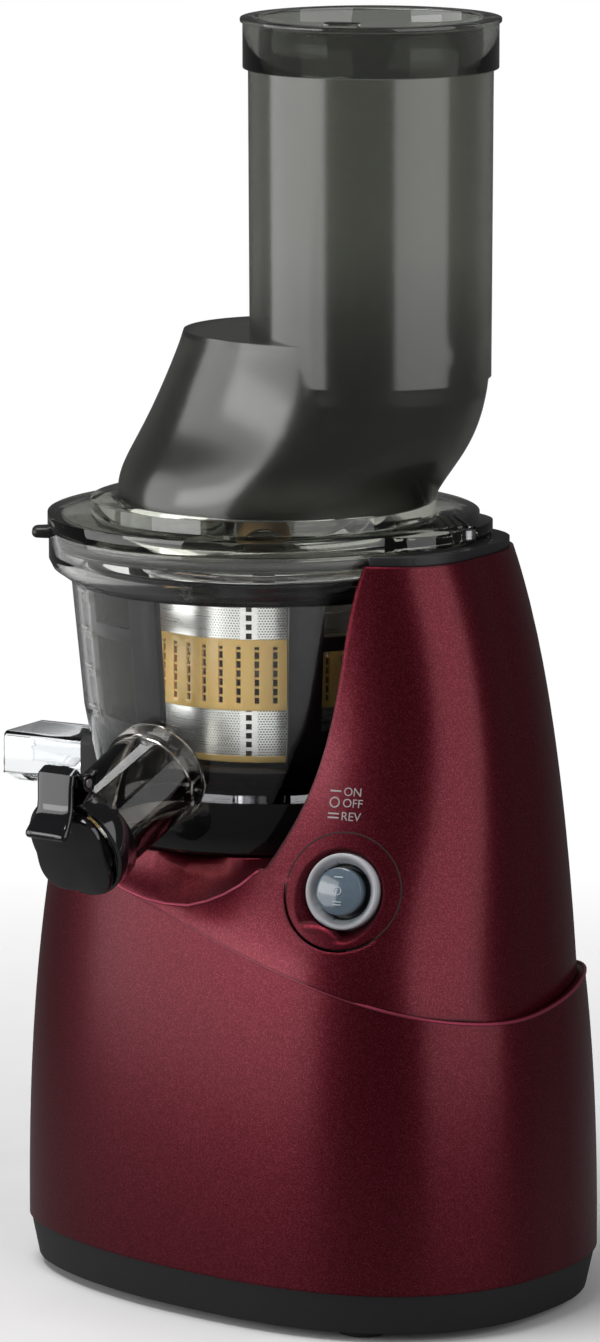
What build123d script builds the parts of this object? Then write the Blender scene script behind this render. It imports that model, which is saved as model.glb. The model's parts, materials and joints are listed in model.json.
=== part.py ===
"""Cold press juicer: a geared motor base that carries a lift-off juicing bowl with a feed chute.

Millimetres, +Z up. The front of the machine, with its switch and juice spout, faces -Y. The bowl
stands to the left (-X) and the tower that holds the controls stands to the right (+X) and wraps
round the back of the bowl. The pieces are drawn about the body's middle, and each is written about
the footprint's middle, which is the origin of the files.
"""
import os
from math import acos, cos, pi, radians, sin, tan

from build123d import *

# ---------------------------------------------------------------- clearances
SLIDE_GAP = 0.35        # between bodies that pass each other
RUN_GAP = 0.05          # radial, shaft in bush
SEAT_GAP = 0.2          # between fixed pieces that are slipped together
TIP_GAP = 0.45          # wiper and flight edges to the wall they sweep

# ---------------------------------------------------------------- body shell
BODY_HALF_WIDTH = 106.0
BODY_FRONT_DEPTH = 71.0
BODY_BACK_DEPTH = 77.0
BODY_CENTRE_Y = -8.0
BODY_SQUARENESS = 2.3
BODY_EGG_FRONT = 0.268      # how much the front bulges more on the tower side
BODY_EGG_BACK = 0.10
SHELL_WALL = 3.4
SHELL_BOTTOM_Z = 17.0
SHELL_TOP_Z = 160.0
SHELL_DRAFT = 11.0          # how far the shell closes in at its top
SHELL_LEDGE = 3.8           # step between the lower shell and the upper one
SHELL_LAP = 7.0             # how far the upper shell reaches down inside the lower one

# The parting line of the two shells sweeps down across the front: height against the distance
# to the right, taken along a direction turned SWEEP_TURN from the front.
SWEEP_TURN = 30.0
SWEEP_LINE = [(-118, 166), (-73, 149), (-16, 128), (24, 116), (56, 110), (76, 109), (90, 112.5), (112, 132)]

# ---------------------------------------------------------------- bottom
FOOT_RADIUS = 9.0
FOOT_SPOTS = [(56, -62), (-62, -38), (-62, 30), (66, 34)]
PLATE_FLOOR = 3.0
PLATE_INSET = 3.6
SCREW_HEAD_R = 3.2
SCREW_SHANK_R = 1.6
SCREW_BOSS_R = 6.0
SCREW_SPOTS = [(84, -22), (-78, -16), (-22, 58), (46, 52)]
PAN_Z = 2.8                 # underside of the pan
FOOT_STUD_Z = PAN_Z + 2.2
SCREW_SEAT_Z = PAN_Z + 4.5
GLAND_X = 30.0
GLAND_Z = 34.0
GLAND_R = 6.8

# ---------------------------------------------------------------- bowl stack
BOWL_X = -20.0
SEAT_Z = 160.0
SEAT_FLOOR = 4.0            # thickness of the seat under the bowl
SEAT_BLOCK = 18.0           # depth of the solid shoulder round the seat
SEAL_WIDTH = 6.0
SCOOP_R = 52.0
SCOOP_SLOPE = 30.0
SCOOP_LOWEST = (-14.0, -66.0, 152.4)
BASE_RADIUS = 58.0
BASE_HEIGHT = 19.0
BASE_WALL = 2.6
BOWL_WALL = 2.6
BOWL_FLOOR = 3.0
BOWL_LOW_R = 58.3
BOWL_MID_R = 63.3
BOWL_MID_Z = 205.0
BOWL_HIGH_R = 67.6
BOWL_HIGH_Z = 249.5
BAND_R = 75.5
BAND_FOOT_Z = 257.0
BAND_TOP_Z = 267.6

STRAINER_R = 41.0
STRAINER_WALL = 1.4
STRAINER_FOOT_GAP = 8.6     # floor of the bowl up to the strainer's floor
STRAINER_LOW_Z = 209.0
STRAINER_HIGH_Z = 234.0
STRAINER_TOP_Z = 251.0
STRAINER_SLOTS = 40
STRAINER_FOOT_R = 2.6

BRUSH_CLEAR = 2.4           # the brush frame to the bowl's wall
BRUSH_ARM_THICK = 3.0
BRUSH_RING_THICK = 4.0
BRUSH_RING_Z = 250.0
BRUSH_TOP_Z = 255.0
BRUSH_ARMS = 4
BRUSH_ARM_TURN = -29.0      # the middle of the first arm
BRUSH_ARM_SPREAD = 45.0     # degrees of the circle that one arm takes
BRUSH_WINDOW_SPREAD = 22.0
BRUSH_WINDOWS = [(204.0, 232.5), (237.5, 250.0)]
WIPER_THICK = 1.6
WIPER_ROOT_GAP = 0.02       # the blade's flat root to the arm's round wall

AUGER_STEM_R = 8.0
AUGER_CORE_FOOT_R = 33.0
AUGER_CORE_TOP_R = 15.0
AUGER_TOP_Z = 246.0
AUGER_PIN_R = 4.0
FLIGHT_THICK = 4.0
FLIGHT_TURNS = 1.5

# ---------------------------------------------------------------- tower
TOWER_CLEAR_R = BAND_R + 1.8    # round the bowl axis
TOWER_TOP_Z = 264.0
TOWER_TOP_HALF_WIDTH = BOWL_X + TOWER_CLEAR_R + 12.5
TOWER_TOP_FRONT_DEPTH = 46.0
TOWER_TOP_BACK_DEPTH = 44.0
TOWER_TOP_SQUARENESS = 3.3
TOWER_LID_THICK = 3.2
PLUG_DEPTH = 4.0            # how far the top plate reaches down into the tower
TOWER_WALL = 3.0
LINER_THICK = 4.0
LINER_TOP_Z = 246.0
LINER_RECESS = 8.0          # the liner's front edge behind the tower's surface
# The upper shell on its way up to the tower's top: height, half width over the top's, front depth,
# back depth, middle, squareness, front bulge and back bulge.
TOWER_SECTIONS = [
    (154.0, 22.4, 63.4, 68.0, -4.0, 2.5, 0.15, 0.05),
    (186.0, 18.4, 53.8, 61.6, -3.0, 2.7, 0.11, 0.025),
    (217.0, 13.4, 49.2, 55.0, -2.0, 2.9, 0.07, 0.0),
]

# ---------------------------------------------------------------- lid and chute
LID_R = BAND_R + 0.4
LID_THICK = 5.2
LID_RING_R = BAND_R - 14.8
LID_RING_HEIGHT = 5.0
LID_MOUTH_R = LID_RING_R - 8.7     # the hole under the chute
FEED_SECTOR = 190.0         # degrees of the lid's floor that are open to the screw
FEED_SECTOR_R = LID_RING_R - 10.7
LID_WALL = 2.6
EAR_INSET = 6.5             # the lid's ear to the tower's edge
LID_FLOOR_DROP = 6.0
CHUTE_X = 23.1
CHUTE_TOP_R = 42.5
CHUTE_FOOT_R = 42.0
CHUTE_BORE_R = 38.9
CHUTE_STEP = 0.5            # the tube's bore is this much wider than the collar's
CHUTE_LEDGE_Z = 338.0
CHUTE_LAP = 14.0            # how far the tube reaches down into the lower body
CHUTE_TOP_Z = 431.0
COLLAR_HEIGHT = 17.5
COLLAR_R = 44.4
RIM_R = 45.3
RIM_THICK = 1.6
# The lower chute: height, left edge, right edge and half depth of each section.
CHUTE_SECTIONS = [
    (277.0, -69.5, 40.0, 53.0),
    (287.0, -70.0, 46.5, 52.0),
    (301.0, -63.5, 57.0, 48.0),
    (315.0, -56.5, 63.0, 44.6),
    (328.0, -50.5, 65.3, 43.2),
    (338.0, -46.5, 65.5, 42.6),
]

# ---------------------------------------------------------------- spout and pulp outlet
SPOUT_HEADING = -7.0        # degrees from the front towards the left
SPOUT_DIP = 22.6
SPOUT_ROOT_Z = 189.0
SPOUT_R = 17.3
SPOUT_WALL = 2.2
SPOUT_LENGTH = 46.0
SPOUT_RING_START = 36.0
SPOUT_RING_LENGTH = 9.0
SPOUT_RING_THICK = 1.9
CAP_THICK = 3.0
CAP_R = 19.2
CAP_HINGE_RISE = 22.5
CAP_PIN_R = 1.5
CAP_KNUCKLE_R = 3.0
CAP_KNUCKLE_LENGTH = 9.0
LEVER_WIDTH = 16.0
LEVER_THICK = 3.0
LEVER_REACH = 13.0          # how far the lever stands out in front of the hinge

OUTLET_END_X = BOWL_X - BASE_RADIUS - 41.5
OUTLET_HALF_WIDTH = 14.5
OUTLET_TOP_Z = 187.5
OUTLET_HEIGHT = 17.5
OUTLET_WALL = 2.0
GASKET_REACH = 7.8          # how far the gasket stands out from the bowl's base

# ---------------------------------------------------------------- switch
SWITCH_X = 49.0
SWITCH_Z = 155.0
SWITCH_HEADING = 8.0
SWITCH_TILT = 12.0
SWITCH_DISH_R = 16.4
SWITCH_DISH_DEPTH = 4.0
SWITCH_GROOVE_R = 20.5
BEZEL_R = 13.2
BEZEL_BORE = 9.7
ROCKER_R = 8.2
ROCKER_PROUD = 3.0
ROCKER_AXIS_DEPTH = 3.5
ROCKER_ROLL_R = 3.0
SWITCH_BODY_R = 9.0
SWITCH_BODY_LENGTH = 13.0
TERMINAL_LENGTH = 6.0

# ---------------------------------------------------------------- drive
GEAR_TEETH = 15
RING_TEETH = 45
PRESSURE_ANGLE = 25.0
DRIVE_MODULE = 1.6
BRUSH_MODULE = 1.5
TOOTH_PLAY = 0.26
MOTOR_FOOT_Z = 24.0
MOTOR_R = 43.0
MOTOR_CAN_WALL = 2.0
MOTOR_LENGTH = 60.0
MOTOR_CAP_THICK = 4.0
MOTOR_SHAFT_R = 4.0
ROTOR_R = 25.0
BEARING_R = 11.0
BEARING_THICK = 7.0
GEARBOX_LENGTH = 34.0
GEARBOX_WALL = 2.8
GEAR_FACE = 14.0
CARRIER_THICK = 4.0
CARRIER_R = 31.0
PLANET_PIN_R = 3.0
SHAFT_R = 7.0
HEX_FLATS = 11.0
HEX_LENGTH = 16.0
SOCKET_PLAY = 0.5

PARTS_DIR = "parts"

# The footprint's middle, seen from the body's middle.
FOOTPRINT_X = -6.7
FOOTPRINT_Y = -23.9


# ================================================================ helpers
def tube(outer, inner, z0, z1, x=0.0, y=0.0):
    """A plain upright tube between two heights."""
    middle = Pos(x, y, (z0 + z1) / 2)
    return middle * (Cylinder(outer, z1 - z0) - Cylinder(inner, z1 - z0 + 2))


def disc(radius, z0, z1, x=0.0, y=0.0):
    """A plain upright cylinder between two heights."""
    return Pos(x, y, (z0 + z1) / 2) * Cylinder(radius, z1 - z0)


def slab(x0, x1, y0, y1, z0, z1):
    """A box between two corners."""
    return Pos((x0 + x1) / 2, (y0 + y1) / 2, (z0 + z1) / 2) * Box(x1 - x0, y1 - y0, z1 - z0)


def turned(points, x=BOWL_X, y=0.0):
    """A solid of revolution about the upright axis at x, y from (radius, height) points."""
    face = make_face(Polyline(*[(x + r, y, z) for r, z in points], close=True))
    return revolve(face, axis=Axis((x, y, 0), (0, 0, 1)))


def power(value, exponent):
    """The signed power that makes a superellipse."""
    return abs(value) ** exponent if value >= 0 else -abs(value) ** exponent


def section(z, half_width, front, back, centre_y, squareness, egg_front=0.0, egg_back=0.0, inset=0.0):
    """A closed plan curve at height z: a superellipse with its own front and back depths."""
    points = []
    steps = 24
    for i in range(steps):
        angle = 2 * pi * i / steps
        across = power(cos(angle), 2 / squareness)
        along = power(sin(angle), 2 / squareness)
        depth, egg = (back, egg_back) if along > 0 else (front, egg_front)
        points.append((
            (half_width - inset) * across,
            centre_y + (depth - inset) * (1 + egg * across) * along,
            z,
        ))
    return Wire([Spline(*points, periodic=True)])


def body_section(z, inset):
    """The lower shell's plan at height z, drawn in by inset."""
    return section(z, BODY_HALF_WIDTH, BODY_FRONT_DEPTH, BODY_BACK_DEPTH, BODY_CENTRE_Y,
                   BODY_SQUARENESS, BODY_EGG_FRONT, BODY_EGG_BACK, inset)


def lower_envelope(inset):
    """The lower shell's outer form, drawn in by inset, with a slight draft that grows upwards."""
    span = SHELL_TOP_Z - SHELL_BOTTOM_Z
    wires = []
    for share in (0.0, 0.32, 0.64, 1.0):
        wires.append(body_section(SHELL_BOTTOM_Z + share * span, inset + SHELL_DRAFT * share ** 2.4))
    return Solid.make_loft(wires)


def upper_envelope(inset):
    """The upper shell's outer form: the lower plan that closes in to the tower's top."""
    wires = [
        section(92.0, BODY_HALF_WIDTH, BODY_FRONT_DEPTH, BODY_BACK_DEPTH, BODY_CENTRE_Y,
                BODY_SQUARENESS, BODY_EGG_FRONT, BODY_EGG_BACK, 2.2 + SHELL_LEDGE + inset),
    ]
    for z, wider, front, back, middle, squareness, egg_front, egg_back in TOWER_SECTIONS:
        wires.append(section(z, TOWER_TOP_HALF_WIDTH + wider, front, back, middle, squareness,
                             egg_front, egg_back, inset))
    wires.append(tower_top_section(TOWER_TOP_Z, inset))
    return Solid.make_loft(wires)


def tower_top_section(z, inset):
    """The tower's plan at its top."""
    return section(z, TOWER_TOP_HALF_WIDTH, TOWER_TOP_FRONT_DEPTH, TOWER_TOP_BACK_DEPTH, 0.0,
                   TOWER_TOP_SQUARENESS, 0.0, 0.0, inset)


def below_sweep(drop=0.0):
    """All that lies under the sweeping parting line, lowered by drop."""
    turn = radians(SWEEP_TURN)
    across = Vector(cos(turn), sin(turn), 0)
    front = Vector(sin(turn), -cos(turn), 0)
    line = [across * s + Vector(0, 0, z - drop) + front * 160 for s, z in SWEEP_LINE]
    ends = [line[0] + Vector(0, 0, -220), line[-1] + Vector(0, 0, -220)]
    edges = [Spline(*line), Line(line[-1], ends[1]), Line(ends[1], ends[0]), Line(ends[0], line[0])]
    face = Face(Wire(edges))
    return extrude(face, amount=320, dir=front * -1)


def inv(angle):
    """The involute function."""
    return tan(angle) - angle


def tooth_points(teeth, module, tip, root, play, turn=0.0):
    """The outline of a gear with involute flanks, a tooth's middle at the angle turn (degrees)."""
    pitch = module * teeth / 2
    pressure = radians(PRESSURE_ANGLE)
    base = pitch * cos(pressure)
    half_pitch = (pi * module / 2 - play) / (2 * pitch)
    start = max(root, base)
    radii = [start, (start + pitch) / 2, pitch, (pitch + tip) / 2, tip]
    if root < base:
        radii.insert(0, root)

    def half_angle(radius):
        across = acos(min(1.0, base / max(radius, base)))
        return half_pitch + inv(pressure) - inv(across)

    points = []
    for i in range(teeth):
        middle = radians(turn) + 2 * pi * i / teeth
        rising = [(r, middle - half_angle(r)) for r in radii]
        falling = [(r, middle + half_angle(r)) for r in reversed(radii)]
        points += [(r * cos(a), r * sin(a)) for r, a in rising + falling]
    return points


def gear_blank(teeth, module, z0, z1, x, y, turn=0.0, inside=False):
    """A toothed solid about x, y. With inside, the cutter that leaves an internal gear's teeth."""
    pitch = module * teeth / 2
    if inside:
        outline = tooth_points(teeth, module, pitch + 1.0 * module, pitch - 0.7 * module, -TOOTH_PLAY, turn)
    else:
        outline = tooth_points(teeth, module, pitch + 0.75 * module, pitch - 1.05 * module, TOOTH_PLAY, turn)
    face = make_face(Polyline(*[(x + px, y + py, z0) for px, py in outline], close=True))
    return extrude(face, amount=z1 - z0, dir=(0, 0, 1))


def group(solids):
    """Separate solids that share one node."""
    return Compound(children=list(solids))


def polar(radius, angle, x=BOWL_X, y=0.0):
    """The point at a radius and an angle (degrees) about the bowl axis."""
    return x + radius * cos(radians(angle)), y + radius * sin(radians(angle))


# ================================================================ shared planes
def spout_plane():
    """The spout's plane: its origin on the bowl's wall, +Z along the spout, +Y up."""
    heading, dip = radians(SPOUT_HEADING), radians(SPOUT_DIP)
    out = Vector(sin(heading) * cos(dip), -cos(heading) * cos(dip), -sin(dip))
    side = Vector(cos(heading), sin(heading), 0)
    root = Vector(BOWL_X + 59.0 * sin(heading), -59.0 * cos(heading), SPOUT_ROOT_Z)
    return Plane(origin=root, x_dir=side, z_dir=out)


def switch_plane():
    """The switch's plane: its origin on the tower's front, +Z out of the wall, +X to the right."""
    heading, tilt = radians(SWITCH_HEADING), radians(SWITCH_TILT)
    out = Vector(sin(heading) * cos(tilt), -cos(heading) * cos(tilt), sin(tilt))
    side = Vector(cos(heading), sin(heading), 0)
    return Plane(origin=(SWITCH_X, SWITCH_FACE_Y, SWITCH_Z), x_dir=side, z_dir=out)


def in_plane(plane, shape):
    """A shape drawn about the origin, moved into a plane."""
    return plane.location * shape


# The tower's front wall at the switch, read off its own envelope.
SWITCH_LINE = slab(SWITCH_X - 0.05, SWITCH_X + 0.05, -150, 0, SWITCH_Z - 0.05, SWITCH_Z + 0.05)
SWITCH_FACE_Y = (upper_envelope(0.0) & SWITCH_LINE).bounding_box().min.Y


# ================================================================ base
def lower_housing():
    """The lower shell: a drafted tub open below, cut along the sweeping line."""
    vents = [slab(-46, 10, 50, 90, z, z + 3.2) for z in range(52, 100, 8)]
    gland = Pos(GLAND_X, 78, GLAND_Z) * Rot(90, 0, 0) * Cylinder(GLAND_R + SEAT_GAP, 40)
    shell = lower_envelope(0.0) & below_sweep()
    return largest(shell - [lower_envelope(SHELL_WALL), gland, *vents])


def largest(shape):
    """The biggest solid of a shape, without the crumbs that a cut leaves."""
    solids = shape.solids()
    return max(solids, key=lambda s: s.volume)


def seat_scoop():
    """The hollow that opens the seat's front edge, as a sloping round trough."""
    slope = radians(SCOOP_SLOPE)
    along = Vector(0, -cos(slope), -sin(slope))
    lift = Vector(0, -sin(slope), cos(slope))
    plane = Plane(origin=Vector(*SCOOP_LOWEST) + lift * SCOOP_R, x_dir=(1, 0, 0), z_dir=along)
    return in_plane(plane, Cylinder(SCOOP_R, 90)) & slab(-150, 150, -150, 0, 100, SEAT_Z + 3.5)


def upper_housing():
    """The upper shell: the bowl's seat with the tower that rises from it round the bowl."""
    plane = switch_plane()
    back_wall = disc(TOWER_CLEAR_R + TOWER_WALL, SEAT_Z - SEAT_BLOCK, TOWER_TOP_Z + 20, BOWL_X)
    boss = in_plane(plane, Pos(0, 0, -6) * Cylinder(SWITCH_GROOVE_R, 12))
    room = upper_envelope(TOWER_WALL) - [back_wall, boss]
    lap = below_sweep(-SEAT_GAP) - lower_envelope(SHELL_WALL + SEAT_GAP)
    groove = Cylinder(SWITCH_GROOVE_R + 0.5, 6) - Cylinder(SWITCH_GROOVE_R - 0.5, 8)
    pocket_length = ROCKER_AXIS_DEPTH + SWITCH_BODY_LENGTH + 9.0
    shell = upper_envelope(0.0) - [
        room,
        lap,
        below_sweep(SHELL_LAP),
        disc(TOWER_CLEAR_R, SEAT_Z, TOWER_TOP_Z + 20, BOWL_X),
        disc(54.0, SEAT_Z - SEAT_BLOCK - 1, SEAT_Z - SEAT_FLOOR, BOWL_X),
        disc(SHAFT_R + SEAL_WIDTH, SEAT_Z - 20, SEAT_Z + 1, BOWL_X),
        seat_scoop(),
        in_plane(plane, Pos(0, 0, -SWITCH_DISH_DEPTH / 2 + 1) *
                 Cone(BEZEL_R + 0.6, SWITCH_DISH_R + 1.5, SWITCH_DISH_DEPTH + 2)),
        in_plane(plane, Pos(0, 0, -4) * Cylinder(BEZEL_R + SEAT_GAP, 16)),
        in_plane(plane, Pos(0, 0, -pocket_length / 2) * Cylinder(SWITCH_BODY_R + SEAT_GAP, pocket_length)),
        in_plane(plane, Pos(0, 0, 2.2) * groove),
    ]
    return largest(shell)


def tower_liner():
    """The black inner wall of the tower that the bowl stands against."""
    outer = TOWER_CLEAR_R - SEAT_GAP
    wall = tube(outer, outer - LINER_THICK, SEAT_Z, LINER_TOP_Z, BOWL_X) & slab(-20, 120, -90, 90, 150, 260)
    return largest(wall & upper_envelope(LINER_RECESS))


def tower_top_plate():
    """The black plate that closes the tower's top and carries the lid's ear."""
    plate = extrude(Face(tower_top_section(TOWER_TOP_Z, 1.2)), amount=TOWER_LID_THICK, dir=(0, 0, 1))
    plate -= disc(TOWER_CLEAR_R, 200, 300, BOWL_X)
    plug_curve = tower_top_section(TOWER_TOP_Z - PLUG_DEPTH, TOWER_WALL + SEAT_GAP)
    plug = extrude(Face(plug_curve), amount=PLUG_DEPTH, dir=(0, 0, 1))
    plug -= disc(TOWER_CLEAR_R + TOWER_WALL + SEAT_GAP, 200, 300, BOWL_X)
    return largest(plate + plug)


def bottom_plate():
    """The black pan under the body: a tapered skirt, the motor's ring and the feet's bosses."""
    outer = Solid.make_loft([body_section(PAN_Z, PLATE_INSET), body_section(SHELL_BOTTOM_Z, 0.6)])
    room = Solid.make_loft([body_section(PAN_Z + PLATE_FLOOR, PLATE_INSET + 3.0),
                            body_section(SHELL_BOTTOM_Z + 1, 4.6)])
    lip_inset = SHELL_WALL + SEAT_GAP
    lip = Solid.make_loft([body_section(SHELL_BOTTOM_Z - 2, lip_inset),
                           body_section(SHELL_BOTTOM_Z + 6, lip_inset + 0.1)])
    lip -= Solid.make_loft([body_section(SHELL_BOTTOM_Z - 3, lip_inset + 2.4),
                            body_section(SHELL_BOTTOM_Z + 7, lip_inset + 2.4)])
    windows = [slab(x - 6, x + 6, y - 6, y + 6, 10, 17)
               for x, y in (polar(MOTOR_R - 3, angle) for angle in range(0, 360, 60))]
    cradle = tube(MOTOR_R - 1, MOTOR_R - 6, PAN_Z + 1, MOTOR_FOOT_Z, BOWL_X) - windows
    bosses = [disc(SCREW_BOSS_R, PAN_Z + 0.1, SHELL_BOTTOM_Z, x, y) for x, y in SCREW_SPOTS]
    pan = (outer - room) + [cradle, lip, *bosses]
    holes = [disc(SCREW_HEAD_R + SEAT_GAP, 0, SCREW_SEAT_Z, x, y) for x, y in SCREW_SPOTS]
    holes += [disc(SCREW_SHANK_R + SEAT_GAP, 0, 40, x, y) for x, y in SCREW_SPOTS]
    holes += [disc(FOOT_RADIUS - 3, 0, FOOT_STUD_Z, x, y) for x, y in FOOT_SPOTS]
    return largest(pan - holes)


def feet():
    """The rubber feet, each a disc with a stud pressed into the pan."""
    names = ("foot_front_right", "foot_front_left", "foot_back_left", "foot_back_right")
    return {name: disc(FOOT_RADIUS, 0, PAN_Z, x, y) + disc(FOOT_RADIUS - 3, 1, FOOT_STUD_Z, x, y)
            for name, (x, y) in zip(names, FOOT_SPOTS)}


def housing_screws():
    """The screws that hold the pan to the lower shell's bosses."""
    return group([disc(SCREW_HEAD_R, SCREW_SEAT_Z - 2.4, SCREW_SEAT_Z, x, y) +
                  disc(SCREW_SHANK_R, SCREW_SEAT_Z - 1, SHELL_BOTTOM_Z + 9, x, y) for x, y in SCREW_SPOTS])


def cord_gland():
    """The strain gland that the mains lead enters by, at the back."""
    barrel = Cylinder(GLAND_R, 14) + Pos(0, 0, 6) * Cylinder(GLAND_R + 2.7, 3) - Cylinder(3.6, 40)
    return Pos(GLAND_X, BODY_CENTRE_Y + BODY_BACK_DEPTH - 0.2, GLAND_Z) * Rot(-90, 0, 0) * barrel


# ================================================================ motor and gearbox
GEARBOX_Z = MOTOR_FOOT_Z + MOTOR_LENGTH + MOTOR_CAP_THICK
GEAR_Z = GEARBOX_Z + 7.0
CARRIER_Z = GEAR_Z + GEAR_FACE + 1.6
COVER_Z = GEARBOX_Z + GEARBOX_LENGTH
ORBIT_R = DRIVE_MODULE * GEAR_TEETH
GEARBOX_R = MOTOR_R + 0.4
PILLAR_R = 4.0
PILLAR_RING = GEARBOX_R + PILLAR_R + 1.0
PILLAR_SPOTS = [polar(PILLAR_RING, 45 + 90 * i) for i in range(4)]
LONG_SCREW_R = 1.8


def motor_can():
    """The motor's steel cup with the lower bearing's seat."""
    top = MOTOR_FOOT_Z + MOTOR_LENGTH
    can = tube(MOTOR_R, MOTOR_R - MOTOR_CAN_WALL, MOTOR_FOOT_Z, top, BOWL_X)
    can += tube(MOTOR_R, 6.0, MOTOR_FOOT_Z, MOTOR_FOOT_Z + 2.5, BOWL_X)
    can += tube(BEARING_R + 3, BEARING_R, MOTOR_FOOT_Z + 2, MOTOR_FOOT_Z + 2.5 + BEARING_THICK, BOWL_X)
    return can


def motor_end_cap():
    """The plate that closes the motor and holds the upper bearing."""
    top = MOTOR_FOOT_Z + MOTOR_LENGTH
    cap = tube(MOTOR_R, BEARING_R, top, top + MOTOR_CAP_THICK, BOWL_X)
    cap += tube(BEARING_R + 3, BEARING_R, top - BEARING_THICK + MOTOR_CAP_THICK, top + 1, BOWL_X)
    return cap


def motor_bearings():
    """The two ball bearings of the motor shaft."""
    low = MOTOR_FOOT_Z + 2.5
    high = MOTOR_FOOT_Z + MOTOR_LENGTH + MOTOR_CAP_THICK - BEARING_THICK
    bore_r = MOTOR_SHAFT_R + RUN_GAP
    return group([tube(BEARING_R, bore_r, z, z + BEARING_THICK, BOWL_X) for z in (low, high)])


def stator():
    """The laminated stator with its windings' heads."""
    low = MOTOR_FOOT_Z + 16
    high = MOTOR_FOOT_Z + MOTOR_LENGTH - 14
    core = tube(MOTOR_R - MOTOR_CAN_WALL, ROTOR_R + 0.6, low, high, BOWL_X)
    heads = tube(MOTOR_R - 6, ROTOR_R + 3, low - 6, high + 6, BOWL_X)
    return core + heads


def motor_rotor():
    """The laminated rotor on the motor shaft."""
    return tube(ROTOR_R, MOTOR_SHAFT_R, MOTOR_FOOT_Z + 17, MOTOR_FOOT_Z + MOTOR_LENGTH - 15, BOWL_X)


def motor_shaft():
    """The motor shaft with the sun pinion cut on its end."""
    shaft = disc(MOTOR_SHAFT_R, MOTOR_FOOT_Z + 3, GEAR_Z + 1, BOWL_X)
    return shaft + gear_blank(GEAR_TEETH, DRIVE_MODULE, GEAR_Z, GEAR_Z + GEAR_FACE, BOWL_X, 0.0)


def gearbox_case():
    """The cup that holds the planetary stage."""
    case = tube(GEARBOX_R, GEARBOX_R - GEARBOX_WALL, GEARBOX_Z, COVER_Z, BOWL_X)
    return case + tube(GEARBOX_R, BEARING_R + 2, GEARBOX_Z, GEARBOX_Z + 2.5, BOWL_X)


def ring_gear():
    """The fixed internal gear."""
    outer_r = GEARBOX_R - GEARBOX_WALL
    blank = disc(outer_r, GEARBOX_Z + 2.5, GEAR_Z + GEAR_FACE, BOWL_X)
    blank -= disc(outer_r - 3.4, GEARBOX_Z, GEAR_Z - 0.5, BOWL_X)
    top = GEAR_Z + GEAR_FACE + 2
    return blank - gear_blank(RING_TEETH, DRIVE_MODULE, GEAR_Z - 5, top, BOWL_X, 0.0, inside=True)


def planet_gears():
    """Three planets, each with a gap towards the sun and a tooth towards the ring."""
    result = {}
    for i in range(3):
        angle = 120.0 * i
        x, y = polar(ORBIT_R, angle)
        gear = gear_blank(GEAR_TEETH, DRIVE_MODULE, GEAR_Z + 0.3, GEAR_Z + GEAR_FACE - 0.3, x, y, angle)
        result[f"planet_gear_{i + 1}"] = gear - disc(PLANET_PIN_R + RUN_GAP, 0, 300, x, y)
    return result


def planet_carrier():
    """The carrier plate with its three pins."""
    plate = tube(CARRIER_R, SHAFT_R, CARRIER_Z, CARRIER_Z + CARRIER_THICK, BOWL_X)
    for i in range(3):
        x, y = polar(ORBIT_R, 120.0 * i)
        plate += disc(PLANET_PIN_R, GEAR_Z - 0.5, CARRIER_Z + 1, x, y)
        plate += disc(PLANET_PIN_R + 2.5, GEAR_Z + GEAR_FACE + 0.4, CARRIER_Z + 1, x, y)
    return plate


def drive_shaft():
    """The slow shaft that rises through the seat and ends in a hexagon."""
    shaft = disc(SHAFT_R, CARRIER_Z, HEX_Z, BOWL_X)
    flats = extrude(Pos(BOWL_X, 0, HEX_Z) * RegularPolygon(HEX_FLATS / 2, 6, major_radius=False), HEX_LENGTH)
    return shaft + flats


def gearbox_cover():
    """The gearbox's lid with the boss for the output bush."""
    cover = tube(GEARBOX_R, SHAFT_R + 3, COVER_Z, COVER_Z + 3, BOWL_X)
    return cover + tube(SHAFT_R + 7, SHAFT_R + 3, COVER_Z, COVER_Z + 14, BOWL_X)


def output_bush():
    """The bronze bush that carries the slow shaft."""
    return tube(SHAFT_R + 3, SHAFT_R + RUN_GAP, COVER_Z - 0.5, COVER_Z + 14, BOWL_X)


def gearbox_screws():
    """Four long screws that hold the gearbox to the underside of the seat."""
    foot = COVER_Z - 2.8
    return group([disc(LONG_SCREW_R, foot - 0.2, SEAT_Z - 6, x, y) + disc(3.6, foot - 2.7, foot, x, y)
                  for x, y in PILLAR_SPOTS])


def gearbox_frame():
    """The cast bracket that hangs the gearbox from the seat on four pillars."""
    plate = tube(PILLAR_RING + PILLAR_R + 1.2, GEARBOX_R, COVER_Z - 2.8, COVER_Z + 3, BOWL_X)
    for x, y in PILLAR_SPOTS:
        plate += disc(PILLAR_R, COVER_Z, SEAT_Z - SEAT_FLOOR, x, y)
        plate -= disc(LONG_SCREW_R, 0, 300, x, y)
    return plate


def shaft_seal():
    """The lip seal round the shaft in the seat."""
    return tube(SHAFT_R + SEAL_WIDTH, SHAFT_R + RUN_GAP, SEAT_Z - SEAT_FLOOR, SEAT_Z - 0.4, BOWL_X)


def control_board():
    """The switching board on posts inside the tower's back wall."""
    wall_x = BOWL_X + TOWER_CLEAR_R + TOWER_WALL
    x = wall_x + 1.6
    board = slab(x, x + 1.8, -20, 22, 176, 226)
    posts = [slab(wall_x - 4, x + 0.5, y - 2, y + 2, z - 2, z + 2) for y in (-13, 15) for z in (184, 218)]
    chips = [slab(x + 1.8, x + 1.8 + high, y - 5, y + 5, z - 6, z + 6)
             for y, z, high in ((-8, 192, 8), (8, 196, 10), (0, 212, 5))]
    return board + posts + chips - disc(TOWER_CLEAR_R + TOWER_WALL, 100, 300, BOWL_X)


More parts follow.
